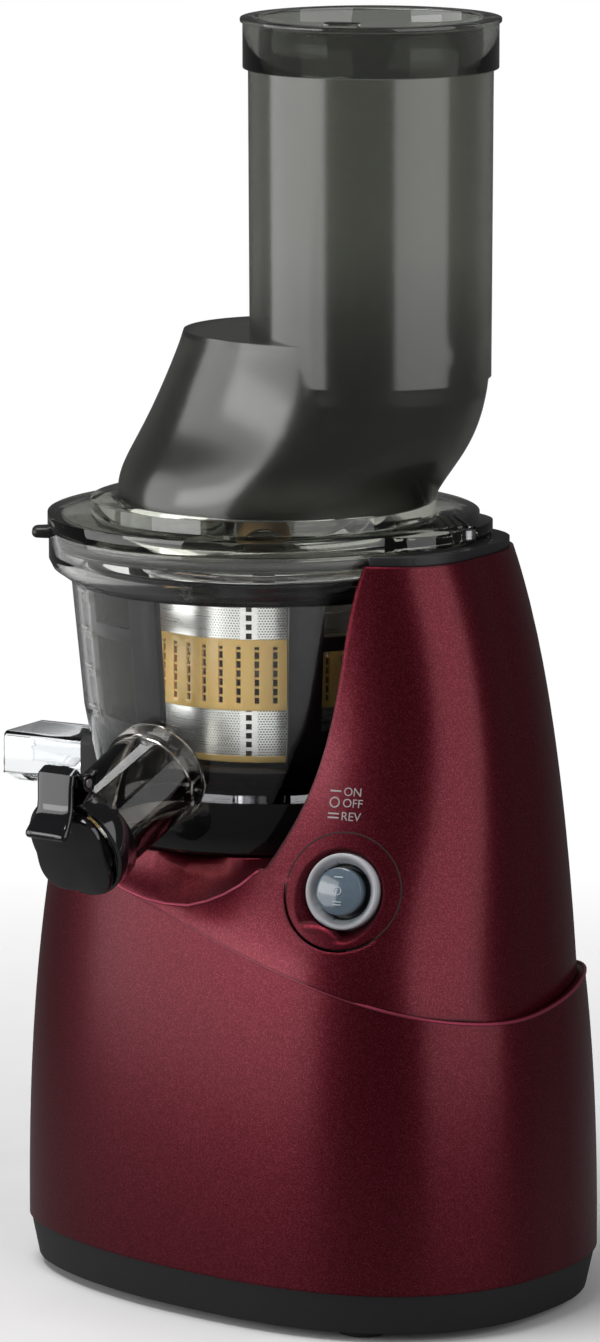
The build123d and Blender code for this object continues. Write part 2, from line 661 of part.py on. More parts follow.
def interlock_sensor():
    """The sensor under the top plate that feels the lid's magnet."""
    high = TOWER_TOP_Z - PLUG_DEPTH
    x = MAGNET_SPOT[0] + 0.7
    return slab(x, x + 4.8, -7, 7, high - 5, high)


# ================================================================ switch
def switch_bezel():
    """The soft clear ring that seals the switch in its dish."""
    ring = Cylinder(BEZEL_R, 7.0) - Cylinder(BEZEL_BORE, 9.0)
    lead = Cone(BEZEL_BORE, BEZEL_R - 1.4, 3.0)
    bezel = Pos(0, 0, -4.0) * ring - Pos(0, 0, -1.9) * lead
    return in_plane(switch_plane(), bezel)


def switch_body():
    """The switch's case behind the wall, with the trough that the rocker rolls in."""
    top = -(ROCKER_AXIS_DEPTH + 2.0)
    foot = top - SWITCH_BODY_LENGTH
    case = Pos(0, 0, (top + foot) / 2) * Cylinder(SWITCH_BODY_R, SWITCH_BODY_LENGTH)
    case += Pos(0, 0, -9.5) * Cylinder(BEZEL_R, 4.0)
    terminal_z = foot - TERMINAL_LENGTH / 2 + 0.5
    case += [Pos(side, 0, terminal_z) * Box(0.8, 6.0, TERMINAL_LENGTH) for side in (-5, 0, 5)]
    case -= Pos(0, 0, -ROCKER_AXIS_DEPTH) * Rot(0, 90, 0) * Cylinder(ROCKER_ROLL_R + RUN_GAP, 9.6)
    return in_plane(switch_plane(), case)


def rocker_button():
    """The round three-position rocker."""
    height = ROCKER_PROUD + ROCKER_AXIS_DEPTH
    button = Pos(0, 0, (ROCKER_PROUD - ROCKER_AXIS_DEPTH) / 2) * Cylinder(ROCKER_R, height)
    roll = Pos(0, 0, -ROCKER_AXIS_DEPTH) * Rot(0, 90, 0) * Cylinder(ROCKER_ROLL_R, 9.0)
    dome = Pos(0, 0, ROCKER_PROUD - 30.0) * Sphere(30.0)
    button = (button & dome) + roll
    return in_plane(switch_plane(), button)


# ================================================================ bowl
BOWL_FLOOR_Z = SEAT_Z + BASE_HEIGHT
BOWL_INSIDE_Z = BOWL_FLOOR_Z + BOWL_FLOOR
STRAINER_FLOOR_Z = BOWL_INSIDE_Z + STRAINER_FOOT_GAP
BRUSH_GEAR_Z = BOWL_INSIDE_Z + 1.4
HEX_Z = BRUSH_GEAR_Z - 0.5
BRUSH_GEAR_FACE = 6.0
BRUSH_FOOT_Z = BRUSH_GEAR_Z + BRUSH_GEAR_FACE - 3.2
IDLER_R = BRUSH_MODULE * GEAR_TEETH
PULP_HOLE_R = 6.0


def bowl_outer_form(grow=0.0):
    """The bowl's full outer form as one solid."""
    return turned([
        (0, BOWL_FLOOR_Z), (BOWL_LOW_R + grow, BOWL_FLOOR_Z), (BOWL_MID_R + grow, BOWL_MID_Z),
        (BOWL_HIGH_R + grow, BOWL_HIGH_Z), (BAND_R - 1.5 + grow, BAND_FOOT_Z - 3),
        (BAND_R + grow, BAND_FOOT_Z),
        (BAND_R + grow, BAND_TOP_Z), (0, BAND_TOP_Z)])


def bowl():
    """The clear juicing bowl: a tapered cup with a wide band that takes the lid."""
    wall = BOWL_WALL
    room = turned([
        (0, BOWL_INSIDE_Z), (BOWL_LOW_R - wall, BOWL_INSIDE_Z), (BOWL_MID_R - wall, BOWL_MID_Z),
        (BOWL_HIGH_R - wall, BOWL_HIGH_Z + 1), (BAND_R - 1.5 - wall, BAND_FOOT_Z),
        (BAND_R - wall, BAND_FOOT_Z + 3),
        (BAND_R - wall, BAND_TOP_Z + 5), (0, BAND_TOP_Z + 5)])
    cup = bowl_outer_form() - room
    cup -= disc(SHAFT_R + 0.6, 100, 200, BOWL_X)
    cup -= disc(PULP_HOLE_R, 100, 200, *polar(IDLER_R, 180))
    idler_x, idler_y = polar(IDLER_R, 0)
    cup += disc(PLANET_PIN_R, BOWL_INSIDE_Z - 1, BRUSH_GEAR_Z + BRUSH_GEAR_FACE, idler_x, idler_y)
    cup -= in_plane(spout_plane(), Pos(0, 0, -2) * Cylinder(SPOUT_R - SPOUT_WALL, 24))
    return largest(cup)


def bowl_base():
    """The black foot of the bowl that drops over the drive and guides the pulp out."""
    foot = turned([
        (0, SEAT_Z), (BASE_RADIUS - 1.5, SEAT_Z), (BASE_RADIUS, SEAT_Z + 1.5), (BASE_RADIUS, BOWL_FLOOR_Z),
        (0, BOWL_FLOOR_Z)])
    foot -= disc(BASE_RADIUS - BASE_WALL, SEAT_Z + 2.6, BOWL_FLOOR_Z + 1, BOWL_X)
    foot += disc(SHAFT_R + 4, SEAT_Z, BOWL_FLOOR_Z, BOWL_X)
    foot -= disc(SHAFT_R + 1.2, 100, 200, BOWL_X)
    top = OUTLET_TOP_Z + 0.1
    foot -= slab(-90, BOWL_X - 40, -OUTLET_HALF_WIDTH, OUTLET_HALF_WIDTH, OUTLET_TOP_Z - OUTLET_HEIGHT, top)
    return largest(foot)


def pulp_outlet():
    """The clear channel that leads the pulp out to the left."""
    low, high = OUTLET_TOP_Z - OUTLET_HEIGHT, OUTLET_TOP_Z
    root = BOWL_X - BASE_RADIUS + 8
    shell = slab(OUTLET_END_X, root, -OUTLET_HALF_WIDTH, OUTLET_HALF_WIDTH, low, high)
    shell = fillet(shell.edges().filter_by(Axis.X), 3.0)
    room = slab(OUTLET_END_X - 5, root + 5, -OUTLET_HALF_WIDTH + OUTLET_WALL, OUTLET_HALF_WIDTH - OUTLET_WALL,
                low + OUTLET_WALL, high - OUTLET_WALL)
    room = fillet(room.edges().filter_by(Axis.X), 1.4)
    shell -= room
    shell -= Pos(OUTLET_END_X - 2, 0, low) * Cylinder(15.0, 2 * OUTLET_WALL + 1)
    shell -= bowl_outer_form(SEAT_GAP)
    shell -= disc(BASE_RADIUS - BASE_WALL - 0.4, low - 5, BOWL_FLOOR_Z + 0.5, BOWL_X)
    shell -= tube(BASE_RADIUS + 0.2, BASE_RADIUS - BASE_WALL - 1, low - 5, low + 0.01, BOWL_X)
    return largest(shell)


def pulp_gasket():
    """The black collar that seals the pulp channel against the bowl."""
    low, high = OUTLET_TOP_Z - OUTLET_HEIGHT, OUTLET_TOP_Z
    x0 = BOWL_X - BASE_RADIUS - GASKET_REACH
    collar = slab(x0, BOWL_X - 50, -OUTLET_HALF_WIDTH - 2.2, OUTLET_HALF_WIDTH + 2.2, low - 2.2, high + 2.2)
    collar = fillet(collar.edges().filter_by(Axis.X), 4.0)
    core = slab(x0 - 5, BOWL_X - 40, -OUTLET_HALF_WIDTH - 0.1, OUTLET_HALF_WIDTH + 0.1, low - 0.1, high + 0.1)
    collar -= core
    collar -= bowl_outer_form(SEAT_GAP)
    collar -= disc(BASE_RADIUS + SEAT_GAP, 100, BOWL_FLOOR_Z + 0.3, BOWL_X)
    return largest(collar)


def juice_nozzle():
    """The clear spout that slopes down from the bowl's front."""
    body = Pos(0, 0, SPOUT_LENGTH / 2 - 6) * Cylinder(SPOUT_R, SPOUT_LENGTH + 12)
    body += Pos(0, 0, 3.0) * Cylinder(SPOUT_R + 1.3, 7.0)
    body -= Pos(0, 0, SPOUT_LENGTH / 2) * Cylinder(SPOUT_R - SPOUT_WALL, SPOUT_LENGTH + 60)
    nozzle = in_plane(spout_plane(), body)
    nozzle -= bowl_outer_form(0.0)
    nozzle -= disc(BASE_RADIUS + SEAT_GAP, 100, BOWL_FLOOR_Z, BOWL_X)
    return largest(nozzle)


def nozzle_ring():
    """The black ring on the spout's end with the two ears of the cap's hinge."""
    r_in = SPOUT_R + 0.05
    middle = SPOUT_RING_START + SPOUT_RING_LENGTH / 2
    ring = Pos(0, 0, middle) * (Cylinder(r_in + SPOUT_RING_THICK, SPOUT_RING_LENGTH) - Cylinder(r_in, 40))
    for side in (-1, 1):
        offset = side * (CAP_KNUCKLE_LENGTH / 2 + 0.3 + 1.5)
        ear = Pos(offset, CAP_HINGE_RISE - 2.0, CAP_HINGE_Z - 2.6) * Box(3.0, 7.0, 7.0)
        ear += Pos(offset, CAP_HINGE_RISE, CAP_HINGE_Z) * Rot(0, 90, 0) * Cylinder(CAP_KNUCKLE_R, 3.0)
        ring += ear
    ring -= Pos(0, 0, middle) * Cylinder(r_in, 60)
    ring -= Pos(0, CAP_HINGE_RISE, CAP_HINGE_Z) * Rot(0, 90, 0) * Cylinder(CAP_PIN_R, 40)
    return in_plane(spout_plane(), ring)


CAP_HINGE_Z = SPOUT_LENGTH - 1.5
CAP_FACE_Z = SPOUT_LENGTH + 0.6


def cap_pin():
    """The pin of the cap's hinge."""
    pin = Pos(0, CAP_HINGE_RISE, CAP_HINGE_Z) * Rot(0, 90, 0) * Cylinder(CAP_PIN_R, CAP_KNUCKLE_LENGTH + 7.0)
    return in_plane(spout_plane(), pin)


def cap_flap():
    """The black cap: a disc with a grip edge, its knuckle and the thumb lever in front."""
    disc_part = Pos(0, 0, CAP_FACE_Z + CAP_THICK / 2) * Cylinder(CAP_R, CAP_THICK)
    grip = Pos(0, -CAP_R + 2, CAP_FACE_Z + CAP_THICK / 2 + 1.2) * Box(17.0, 9.0, CAP_THICK + 2.4)
    cap = disc_part + grip
    arm = Pos(0, CAP_HINGE_RISE - 3.0, CAP_FACE_Z + 2.2) * Box(CAP_KNUCKLE_LENGTH, 9.0, 4.4)
    hinge = Pos(0, CAP_HINGE_RISE, CAP_HINGE_Z) * Rot(0, 90, 0)
    cap += arm + hinge * Cylinder(CAP_KNUCKLE_R, CAP_KNUCKLE_LENGTH)
    back = CAP_HINGE_Z + CAP_KNUCKLE_R + SLIDE_GAP + 0.2
    top = CAP_HINGE_RISE + CAP_KNUCKLE_R
    front = back + LEVER_REACH
    outline = Polyline(
        (top - LEVER_THICK, back), (top, back), (top, front - 3.0), (top - 3.0, front),
        (4.0, front), (-3.0, front + 3.0), (-7.0, front + 9.5), (-9.6, front + 8.0),
        (-6.0, front + 0.5), (1.5, front - LEVER_THICK), (top - LEVER_THICK, front - LEVER_THICK), close=True)
    cap += extrude(Plane.YZ * make_face(outline), amount=LEVER_WIDTH / 2, both=True)
    cap -= hinge * Cylinder(CAP_PIN_R + RUN_GAP, 60)
    return largest(in_plane(spout_plane(), cap))


def cap_seal():
    """The silicone plug on the cap's inner face."""
    plug_r = SPOUT_R - SPOUT_WALL - SLIDE_GAP - 1.2
    plug = Pos(0, 0, CAP_FACE_Z - 2.0) * Cylinder(plug_r, 4.0)
    return in_plane(spout_plane(), plug)


# ================================================================ strainer, brush and auger
def strainer_floor():
    """The strainer's amber floor, on three feet that stand on the bowl."""
    floor = tube(STRAINER_R, AUGER_STEM_R + 0.6, STRAINER_FLOOR_Z, STRAINER_FLOOR_Z + 2.2, BOWL_X)
    floor -= disc(PULP_HOLE_R, 100, 300, *polar(IDLER_R, 180))
    for angle in (90, 140, 220, 270):
        floor += disc(STRAINER_FOOT_R, BOWL_INSIDE_Z, STRAINER_FLOOR_Z + 1, *polar(IDLER_R, angle))
    return floor


def strainer_screen(z0, z1):
    """One perforated steel band of the strainer."""
    return tube(STRAINER_R - 0.3, STRAINER_R - 0.9, z0, z1, BOWL_X)


def strainer_band():
    """The amber band of the strainer with its upright slots, and the two rings that bound it."""
    band = tube(STRAINER_R, STRAINER_R - STRAINER_WALL, STRAINER_LOW_Z, STRAINER_HIGH_Z, BOWL_X)
    step = 360.0 / STRAINER_SLOTS
    for i in range(STRAINER_SLOTS):
        x, y = polar(STRAINER_R - 0.7, i * step)
        cutter = Pos(x, y, (STRAINER_LOW_Z + STRAINER_HIGH_Z) / 2) * Rot(0, 0, i * step)
        band -= cutter * Box(4.0, 1.6, STRAINER_HIGH_Z - STRAINER_LOW_Z - 5.0)
    return band


def strainer_rim():
    """The strainer's top ring that guides it in the bowl."""
    return tube(STRAINER_R + 2.0, STRAINER_R - STRAINER_WALL, STRAINER_TOP_Z, STRAINER_TOP_Z + 4.5, BOWL_X)


def auger():
    """The juicing screw: a cone with one helical flight, on a stem with a hex socket."""
    foot_z = STRAINER_FLOOR_Z + 3.0
    stem = disc(AUGER_STEM_R, BRUSH_GEAR_Z, foot_z + 1, BOWL_X)
    core = turned([
        (0, foot_z), (AUGER_CORE_FOOT_R, foot_z), (AUGER_CORE_FOOT_R, foot_z + 5),
        (AUGER_CORE_TOP_R, AUGER_TOP_Z - 4), (AUGER_CORE_TOP_R - 4, AUGER_TOP_Z), (0, AUGER_TOP_Z)])
    reach = STRAINER_R - STRAINER_WALL - TIP_GAP
    flight_height = AUGER_TOP_Z - 12 - foot_z
    screw = stem + core
    path = Pos(BOWL_X, 0, foot_z + 6) * Helix(flight_height / FLIGHT_TURNS, flight_height, reach - 8.0)
    start = path @ 0
    heading = path % 0
    plane = Plane(origin=start, x_dir=(1, 0, 0), z_dir=heading)
    blade = plane * Polygon((-22, -FLIGHT_THICK / 2 - 2), (8.0, -FLIGHT_THICK / 2), (8.0, FLIGHT_THICK / 2),
                            (-22, FLIGHT_THICK / 2 + 2), align=None)
    screw += sweep(blade, path=path, is_frenet=True)
    screw += disc(AUGER_PIN_R, AUGER_TOP_Z - 1, AUGER_PIN_TOP_Z, BOWL_X)
    socket_top = HEX_Z + HEX_LENGTH + 1.0
    socket = RegularPolygon((HEX_FLATS + SOCKET_PLAY) / 2, 6, major_radius=False)
    screw -= extrude(Pos(BOWL_X, 0, 150) * socket, socket_top - 150)
    return largest(screw)


def auger_gear():
    """The pinion on the auger's stem that drives the brushes."""
    gear = gear_blank(GEAR_TEETH, BRUSH_MODULE, BRUSH_GEAR_Z, BRUSH_GEAR_Z + BRUSH_GEAR_FACE, BOWL_X, 0.0)
    return gear - disc(AUGER_STEM_R, 100, 300, BOWL_X)


def idler_gear():
    """The idler on the bowl's pin between the auger's pinion and the brush holder."""
    x, y = polar(IDLER_R, 0)
    gear_top = BRUSH_GEAR_Z + BRUSH_GEAR_FACE - 0.2
    gear = gear_blank(GEAR_TEETH, BRUSH_MODULE, BRUSH_GEAR_Z + 0.2, gear_top, x, y)
    return gear - disc(PLANET_PIN_R + RUN_GAP, 100, 300, x, y)


def sector(r_in, r_out, z0, z1, middle, spread):
    """A piece of a tube that spans an angle."""
    piece = tube(r_out, r_in, z0, z1, BOWL_X)
    wedge_r = r_out * 2
    a0, a1 = radians(middle - spread / 2), radians(middle + spread / 2)
    outline = [(BOWL_X, 0, z0 - 1)]
    outline += [(BOWL_X + wedge_r * cos(a), wedge_r * sin(a), z0 - 1) for a in (a0, (a0 + a1) / 2, a1)]
    wedge = extrude(make_face(Polyline(*outline, close=True)), amount=z1 - z0 + 2, dir=(0, 0, 1))
    return piece & wedge


def arm_angles():
    """The middle angle of each brush arm."""
    return [BRUSH_ARM_TURN + 360.0 * i / BRUSH_ARMS for i in range(BRUSH_ARMS)]


def brush_form(inset):
    """The cup that the brush frame is cut from: the bowl's inside, drawn in by a clearance and inset."""
    drawn_in = BOWL_WALL + BRUSH_CLEAR + inset
    return turned([
        (0, BRUSH_FOOT_Z), (BOWL_LOW_R - drawn_in, BRUSH_FOOT_Z), (BOWL_MID_R - drawn_in, BOWL_MID_Z),
        (BOWL_HIGH_R - drawn_in, BRUSH_TOP_Z), (0, BRUSH_TOP_Z)])


def brush_holder():
    """The brush frame: an internal gear, a flange and windowed arms up to a top ring."""
    gear_top = BRUSH_GEAR_Z + BRUSH_GEAR_FACE
    gear_r = BRUSH_MODULE * RING_TEETH / 2 + 4.2
    holder = tube(gear_r, 20, BRUSH_GEAR_Z, gear_top, BOWL_X)
    holder -= gear_blank(RING_TEETH, BRUSH_MODULE, BRUSH_GEAR_Z - 1, gear_top + 1, BOWL_X, 0.0, inside=True)
    cup = brush_form(0.0)
    holder += cup & tube(BAND_R, gear_r - 1, BRUSH_FOOT_Z, gear_top, BOWL_X)
    holder += (cup - brush_form(BRUSH_RING_THICK)) & disc(BAND_R, BRUSH_RING_Z, BRUSH_TOP_Z, BOWL_X)
    wall = cup - brush_form(BRUSH_ARM_THICK)
    for angle in arm_angles():
        arm = wall & sector(STRAINER_R, BAND_R, BRUSH_FOOT_Z + 1, BRUSH_RING_Z + 1, angle, BRUSH_ARM_SPREAD)
        for low, high in BRUSH_WINDOWS:
            arm -= sector(STRAINER_R, BAND_R, low, high, angle, BRUSH_WINDOW_SPREAD)
        holder += arm
    return largest(holder)


def wiper_blades():
    """The silicone wipers on the inner side of the arms, against the strainer."""
    low, high = BRUSH_GEAR_Z + BRUSH_GEAR_FACE + 4, BRUSH_RING_Z - 2
    room = brush_form(BRUSH_ARM_THICK + WIPER_ROOT_GAP)
    inner_r = STRAINER_R + TIP_GAP
    reach = BAND_R - inner_r
    blades = []
    for angle in arm_angles():
        edge = angle - BRUSH_ARM_SPREAD / 2 + 4
        x, y = polar(inner_r + reach / 2, edge)
        blade = Pos(x, y, (low + high) / 2) * Rot(0, 0, edge) * Box(reach, WIPER_THICK, high - low)
        blades.append(largest(blade & room))
    return group(blades)


# ================================================================ lid
LID_Z = BAND_TOP_Z + SLIDE_GAP
LID_TOP_Z = LID_Z + LID_THICK
LID_RING_Z = LID_TOP_Z + LID_RING_HEIGHT
LID_FLOOR_Z = LID_Z - LID_FLOOR_DROP
HUB_R = 9.0
BUSH_R = 7.0
BUSH_LOW_Z = LID_FLOOR_Z - 4.0
AUGER_PIN_TOP_Z = LID_FLOOR_Z + 1.0


def chute_form(inset, lift=0.0):
    """The chute's outer form, drawn in by inset: the round lower body and the tube above it."""
    wires = []
    for z, left, right, depth in CHUTE_SECTIONS:
        half = (right - left) / 2 - inset
        points = []
        for i in range(24):
            angle = 2 * pi * i / 24
            x = (left + right) / 2 + half * power(cos(angle), 0.96)
            y = (depth - inset) * power(sin(angle), 0.96)
            points.append((x, y, z - (lift if z == CHUTE_SECTIONS[-1][0] else 0.0)))
        wires.append(Wire([Spline(*points, periodic=True)]))
    return Solid.make_loft(wires)


def chute_room():
    """The way for fruit through the chute."""
    tube_low = CHUTE_LEDGE_Z - CHUTE_LAP
    bore = disc(CHUTE_BORE_R + CHUTE_STEP, tube_low - 6, CHUTE_TOP_Z + 5, CHUTE_X)
    return chute_form(LID_WALL, LID_WALL) + bore


def lid():
    """The lid: its disc and locking ear, the raised ring, the skirt and the floor over the strainer."""
    skirt_r = BAND_R - BOWL_WALL - SLIDE_GAP
    body = disc(LID_R, LID_Z, LID_TOP_Z, BOWL_X)
    ear = extrude(Face(tower_top_section(LID_Z, EAR_INSET)), amount=LID_THICK, dir=(0, 0, 1))
    body += ear & slab(20, 150, -60, 60, LID_Z, LID_TOP_Z)
    body += disc(LID_RING_R, LID_TOP_Z - 1, LID_RING_Z, BOWL_X)
    body += tube(skirt_r, skirt_r - LID_WALL, LID_FLOOR_Z, LID_Z + 1, BOWL_X)
    body -= chute_room()
    body -= disc(LID_MOUTH_R, LID_Z - 1, LID_RING_Z - 1, BOWL_X)
    floor = disc(skirt_r - 1, LID_FLOOR_Z, LID_FLOOR_Z + LID_WALL, BOWL_X)
    floor -= sector(HUB_R + 4, FEED_SECTOR_R, LID_FLOOR_Z - 1, LID_FLOOR_Z + 5, 0, FEED_SECTOR)
    floor += disc(HUB_R + 2, LID_FLOOR_Z - 1.0, LID_FLOOR_Z + 9, BOWL_X)
    body += floor
    magnet_x, magnet_y = MAGNET_SPOT
    body -= disc(4.0 + SEAT_GAP, LID_Z + 1.2, LID_TOP_Z + 1, magnet_x, magnet_y)
    body -= disc(BUSH_R + RUN_GAP, LID_FLOOR_Z - 10, LID_FLOOR_Z + 6, BOWL_X)
    return largest(body)


def feed_chute():
    """The chute welded on the lid's ring: the slanting lower body and the wide tube."""
    tube_low = CHUTE_LEDGE_Z - CHUTE_LAP
    neck = Cone(CHUTE_FOOT_R, CHUTE_TOP_R, CHUTE_TOP_Z - tube_low)
    body = chute_form(0.0) + Pos(CHUTE_X, 0, (tube_low + CHUTE_TOP_Z) / 2) * neck
    body -= [chute_room(), disc(2 * LID_R, LID_Z, LID_RING_Z, BOWL_X)]
    return largest(body)


MAGNET_SPOT = (BOWL_X + TOWER_CLEAR_R + 3.2, 0.0)


def lid_magnet():
    """The magnet in the lid's ear that tells the base the lid is locked."""
    return disc(4.0, LID_Z + 1.4, LID_TOP_Z - 0.6, *MAGNET_SPOT)


def lid_bush():
    """The bush in the lid's middle that steadies the auger's pin."""
    bush = disc(BUSH_R, BUSH_LOW_Z + 3, LID_FLOOR_Z + 5.6, BOWL_X)
    bush += disc(BUSH_R + 2.5, BUSH_LOW_Z, BUSH_LOW_Z + 2.6, BOWL_X)
    bush += disc(BUSH_R, BUSH_LOW_Z, BUSH_LOW_Z + 5, BOWL_X)
    return bush - disc(AUGER_PIN_R + RUN_GAP, BUSH_LOW_Z - 2, AUGER_PIN_TOP_Z + 0.6, BOWL_X)


def lid_gasket():
    """The silicone ring between the lid and the bowl's band."""
    r_in = BAND_R - BOWL_WALL - SLIDE_GAP
    return tube(BAND_R - BOWL_WALL - 0.15, r_in, LID_FLOOR_Z + 1.0, LID_FLOOR_Z + 4.0, BOWL_X)


def chute_collar():
    """The ring round the chute's top with its rolled rim."""
    top = CHUTE_TOP_Z + COLLAR_HEIGHT
    collar = tube(COLLAR_R, CHUTE_BORE_R, CHUTE_TOP_Z, top, CHUTE_X)
    return collar + tube(RIM_R, CHUTE_BORE_R, top - RIM_THICK, top, CHUTE_X)


def rim_latch():
    """The small catch on the rim for a feed tray."""
    angle = radians(-74)
    x = CHUTE_X + (RIM_R + CHUTE_BORE_R) / 2 * cos(angle)
    y = (RIM_R + CHUTE_BORE_R) / 2 * sin(angle)
    top = CHUTE_TOP_Z + COLLAR_HEIGHT
    catch = Pos(x, y, top + 0.9) * Rot(0, 0, 16) * Box(12.0, 5.0, 1.8)
    return catch


# ================================================================ all nodes
def build_all():
    """Every node by name."""
    nodes = {
        "lower_housing": lower_housing(),
        "upper_housing": upper_housing(),
        "tower_liner": tower_liner(),
        "tower_top_plate": tower_top_plate(),
        "bottom_plate": bottom_plate(),
        "housing_screws": housing_screws(),
        "cord_gland": cord_gland(),
        "motor_can": motor_can(),
        "motor_end_cap": motor_end_cap(),
        "motor_bearings": motor_bearings(),
        "stator": stator(),
        "motor_rotor": motor_rotor(),
        "motor_shaft": motor_shaft(),
        "gearbox_case": gearbox_case(),
        "ring_gear": ring_gear(),
        "planet_carrier": planet_carrier(),
        "drive_shaft": drive_shaft(),
        "gearbox_cover": gearbox_cover(),
        "gearbox_frame": gearbox_frame(),
        "gearbox_screws": gearbox_screws(),
        "output_bush": output_bush(),
        "shaft_seal": shaft_seal(),
        "control_board": control_board(),
        "interlock_sensor": interlock_sensor(),
        "switch_bezel": switch_bezel(),
        "switch_body": switch_body(),
        "rocker_button": rocker_button(),
        "bowl": bowl(),
        "bowl_base": bowl_base(),
        "pulp_outlet": pulp_outlet(),
        "pulp_gasket": pulp_gasket(),
        "juice_nozzle": juice_nozzle(),
        "nozzle_ring": nozzle_ring(),
        "cap_pin": cap_pin(),
        "cap_flap": cap_flap(),
        "cap_seal": cap_seal(),
        "strainer_floor": strainer_floor(),
        "strainer_screen_lower": strainer_screen(STRAINER_FLOOR_Z + 2.2, STRAINER_LOW_Z),
        "strainer_band": strainer_band(),
        "strainer_screen_upper": strainer_screen(STRAINER_HIGH_Z, STRAINER_TOP_Z),
        "strainer_rim": strainer_rim(),
        "auger": auger(),
        "auger_gear": auger_gear(),
        "idler_gear": idler_gear(),
        "brush_holder": brush_holder(),
        "wiper_blades": wiper_blades(),
        "lid": lid(),
        "feed_chute": feed_chute(),
        "lid_magnet": lid_magnet(),
        "lid_bush": lid_bush(),
        "lid_gasket": lid_gasket(),
        "chute_collar": chute_collar(),
        "rim_latch": rim_latch(),
    }
    nodes.update(feet())
    nodes.update(planet_gears())
    return nodes


def main():
    """Write one STEP file for each node."""
    os.makedirs(PARTS_DIR, exist_ok=True)
    to_origin = Pos(-FOOTPRINT_X, -FOOTPRINT_Y, 0)
    for name, shape in build_all().items():
        export_step(to_origin * shape, os.path.join(PARTS_DIR, f"{name}.step"))


main()
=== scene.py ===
"""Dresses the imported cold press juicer: shells, clear bowl and chute, switch, strainer, studio."""
import json
import logging
import math
from dataclasses import dataclass
from enum import Enum
from typing import Any, Callable, Iterable, Sequence

import bmesh
import bpy
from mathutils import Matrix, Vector


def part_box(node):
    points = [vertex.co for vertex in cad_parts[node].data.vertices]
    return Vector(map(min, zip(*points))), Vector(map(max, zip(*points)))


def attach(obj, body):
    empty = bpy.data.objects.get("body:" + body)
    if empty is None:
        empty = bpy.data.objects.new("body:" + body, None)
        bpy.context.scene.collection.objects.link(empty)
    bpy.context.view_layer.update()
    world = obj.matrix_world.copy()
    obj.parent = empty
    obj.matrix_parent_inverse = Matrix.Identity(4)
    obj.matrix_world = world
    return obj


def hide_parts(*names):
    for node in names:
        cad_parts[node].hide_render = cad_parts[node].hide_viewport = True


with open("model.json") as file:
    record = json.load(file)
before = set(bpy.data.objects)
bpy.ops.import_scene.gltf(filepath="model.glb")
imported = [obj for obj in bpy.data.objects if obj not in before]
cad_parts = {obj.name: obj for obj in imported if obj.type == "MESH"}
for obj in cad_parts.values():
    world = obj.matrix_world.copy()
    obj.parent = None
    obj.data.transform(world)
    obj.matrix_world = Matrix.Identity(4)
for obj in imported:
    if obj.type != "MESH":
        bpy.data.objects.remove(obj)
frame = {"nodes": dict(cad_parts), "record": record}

LOG = logging.getLogger("juicer")
MM = 0.001
# A printed mark: how far off the wall it starts, its gap to the wall and its film, in millimetres.
PRINT_START, PRINT_GAP, PRINT_FILM = 30.0, 0.04, 0.12
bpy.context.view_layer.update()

Obj = bpy.types.Object
Node = bpy.types.Node
Socket = bpy.types.NodeSocket
Tree = bpy.types.NodeTree
Material = bpy.types.Material
Colour = tuple[float, float, float]
Pair = tuple[float, float]
Corner = tuple[float, float, float]
PathRow = tuple[float, float, float, float]


def middle(node: str) -> Vector:
    """The middle of a CAD node's box, in millimetres."""
    low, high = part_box(node)
    return (Vector(low) + Vector(high)) / (2 * MM)


# The upright axis of the bowl, and the body's middle that the shells are drawn about.
BOWL_AXIS = Vector((middle("strainer_rim").x, middle("strainer_rim").y, 0.0))
BODY_MIDDLE = BOWL_AXIS + Vector((20.0, 0.0, 0.0))


# ---- places
@dataclass(frozen=True)
class Frame:
    """A place with three directions, in millimetres, in the row's frame."""

    origin: Vector
    across: Vector
    up: Vector
    out: Vector

    def at(self, x: float, y: float, z: float) -> Vector:
        """The point x across, y up and z out of this place."""
        return self.origin + self.across * x + self.up * y + self.out * z


def upright(x: float, y: float) -> Frame:
    """An upright place: its out direction is +Z."""
    return Frame(Vector((x, y, 0.0)), Vector((1, 0, 0)), Vector((0, 1, 0)), Vector((0, 0, 1)))


def leaning(origin: Vector, heading: float, rise: float) -> Frame:
    """A place whose out direction heads from the front towards the right and rises above the level.

    Args:
        origin: its point.
        heading: degrees from -Y towards +X.
        rise: degrees above the level.

    Returns:
        The place.
    """
    turn, lift = math.radians(heading), math.radians(rise)
    level = math.cos(lift)
    out = Vector((math.sin(turn) * level, -math.cos(turn) * level, math.sin(lift)))
    across = Vector((math.cos(turn), math.sin(turn), 0.0))
    return Frame(origin, across, out.cross(across), out)


BOWL = upright(BOWL_AXIS.x, BOWL_AXIS.y)


def round_bowl(heading: float, reach: float, z: float) -> Vector:
    """A point reach millimetres off the bowl's axis, heading degrees from front towards right."""
    turn = math.radians(heading)
    return BOWL.at(reach * math.sin(turn), -reach * math.cos(turn), z)


# The spout's root on the bowl, and the switch on the tower's front wall.
SPOUT = leaning(round_bowl(-7.0, 59.0, 189.0), -7.0, -22.6)
SWITCH = leaning(BODY_MIDDLE + Vector((49.0, -66.07, 155.0)), 8.0, 12.0)


# ---- shaping helpers
def only(obj: Obj) -> None:
    """Selects one object and makes it active.

    Args:
        obj: the object.
    """
    bpy.ops.object.select_all(action="DESELECT")
    obj.select_set(True)
    bpy.context.view_layer.objects.active = obj


def edit(obj: Obj, work: Callable[[], Any]) -> None:
    """Runs work in edit mode with everything selected.

    Args:
        obj: the mesh object.
        work: what to run.
    """
    only(obj)
    bpy.ops.object.mode_set(mode="EDIT")
    bpy.ops.mesh.select_all(action="SELECT")
    work()
    bpy.ops.object.mode_set(mode="OBJECT")


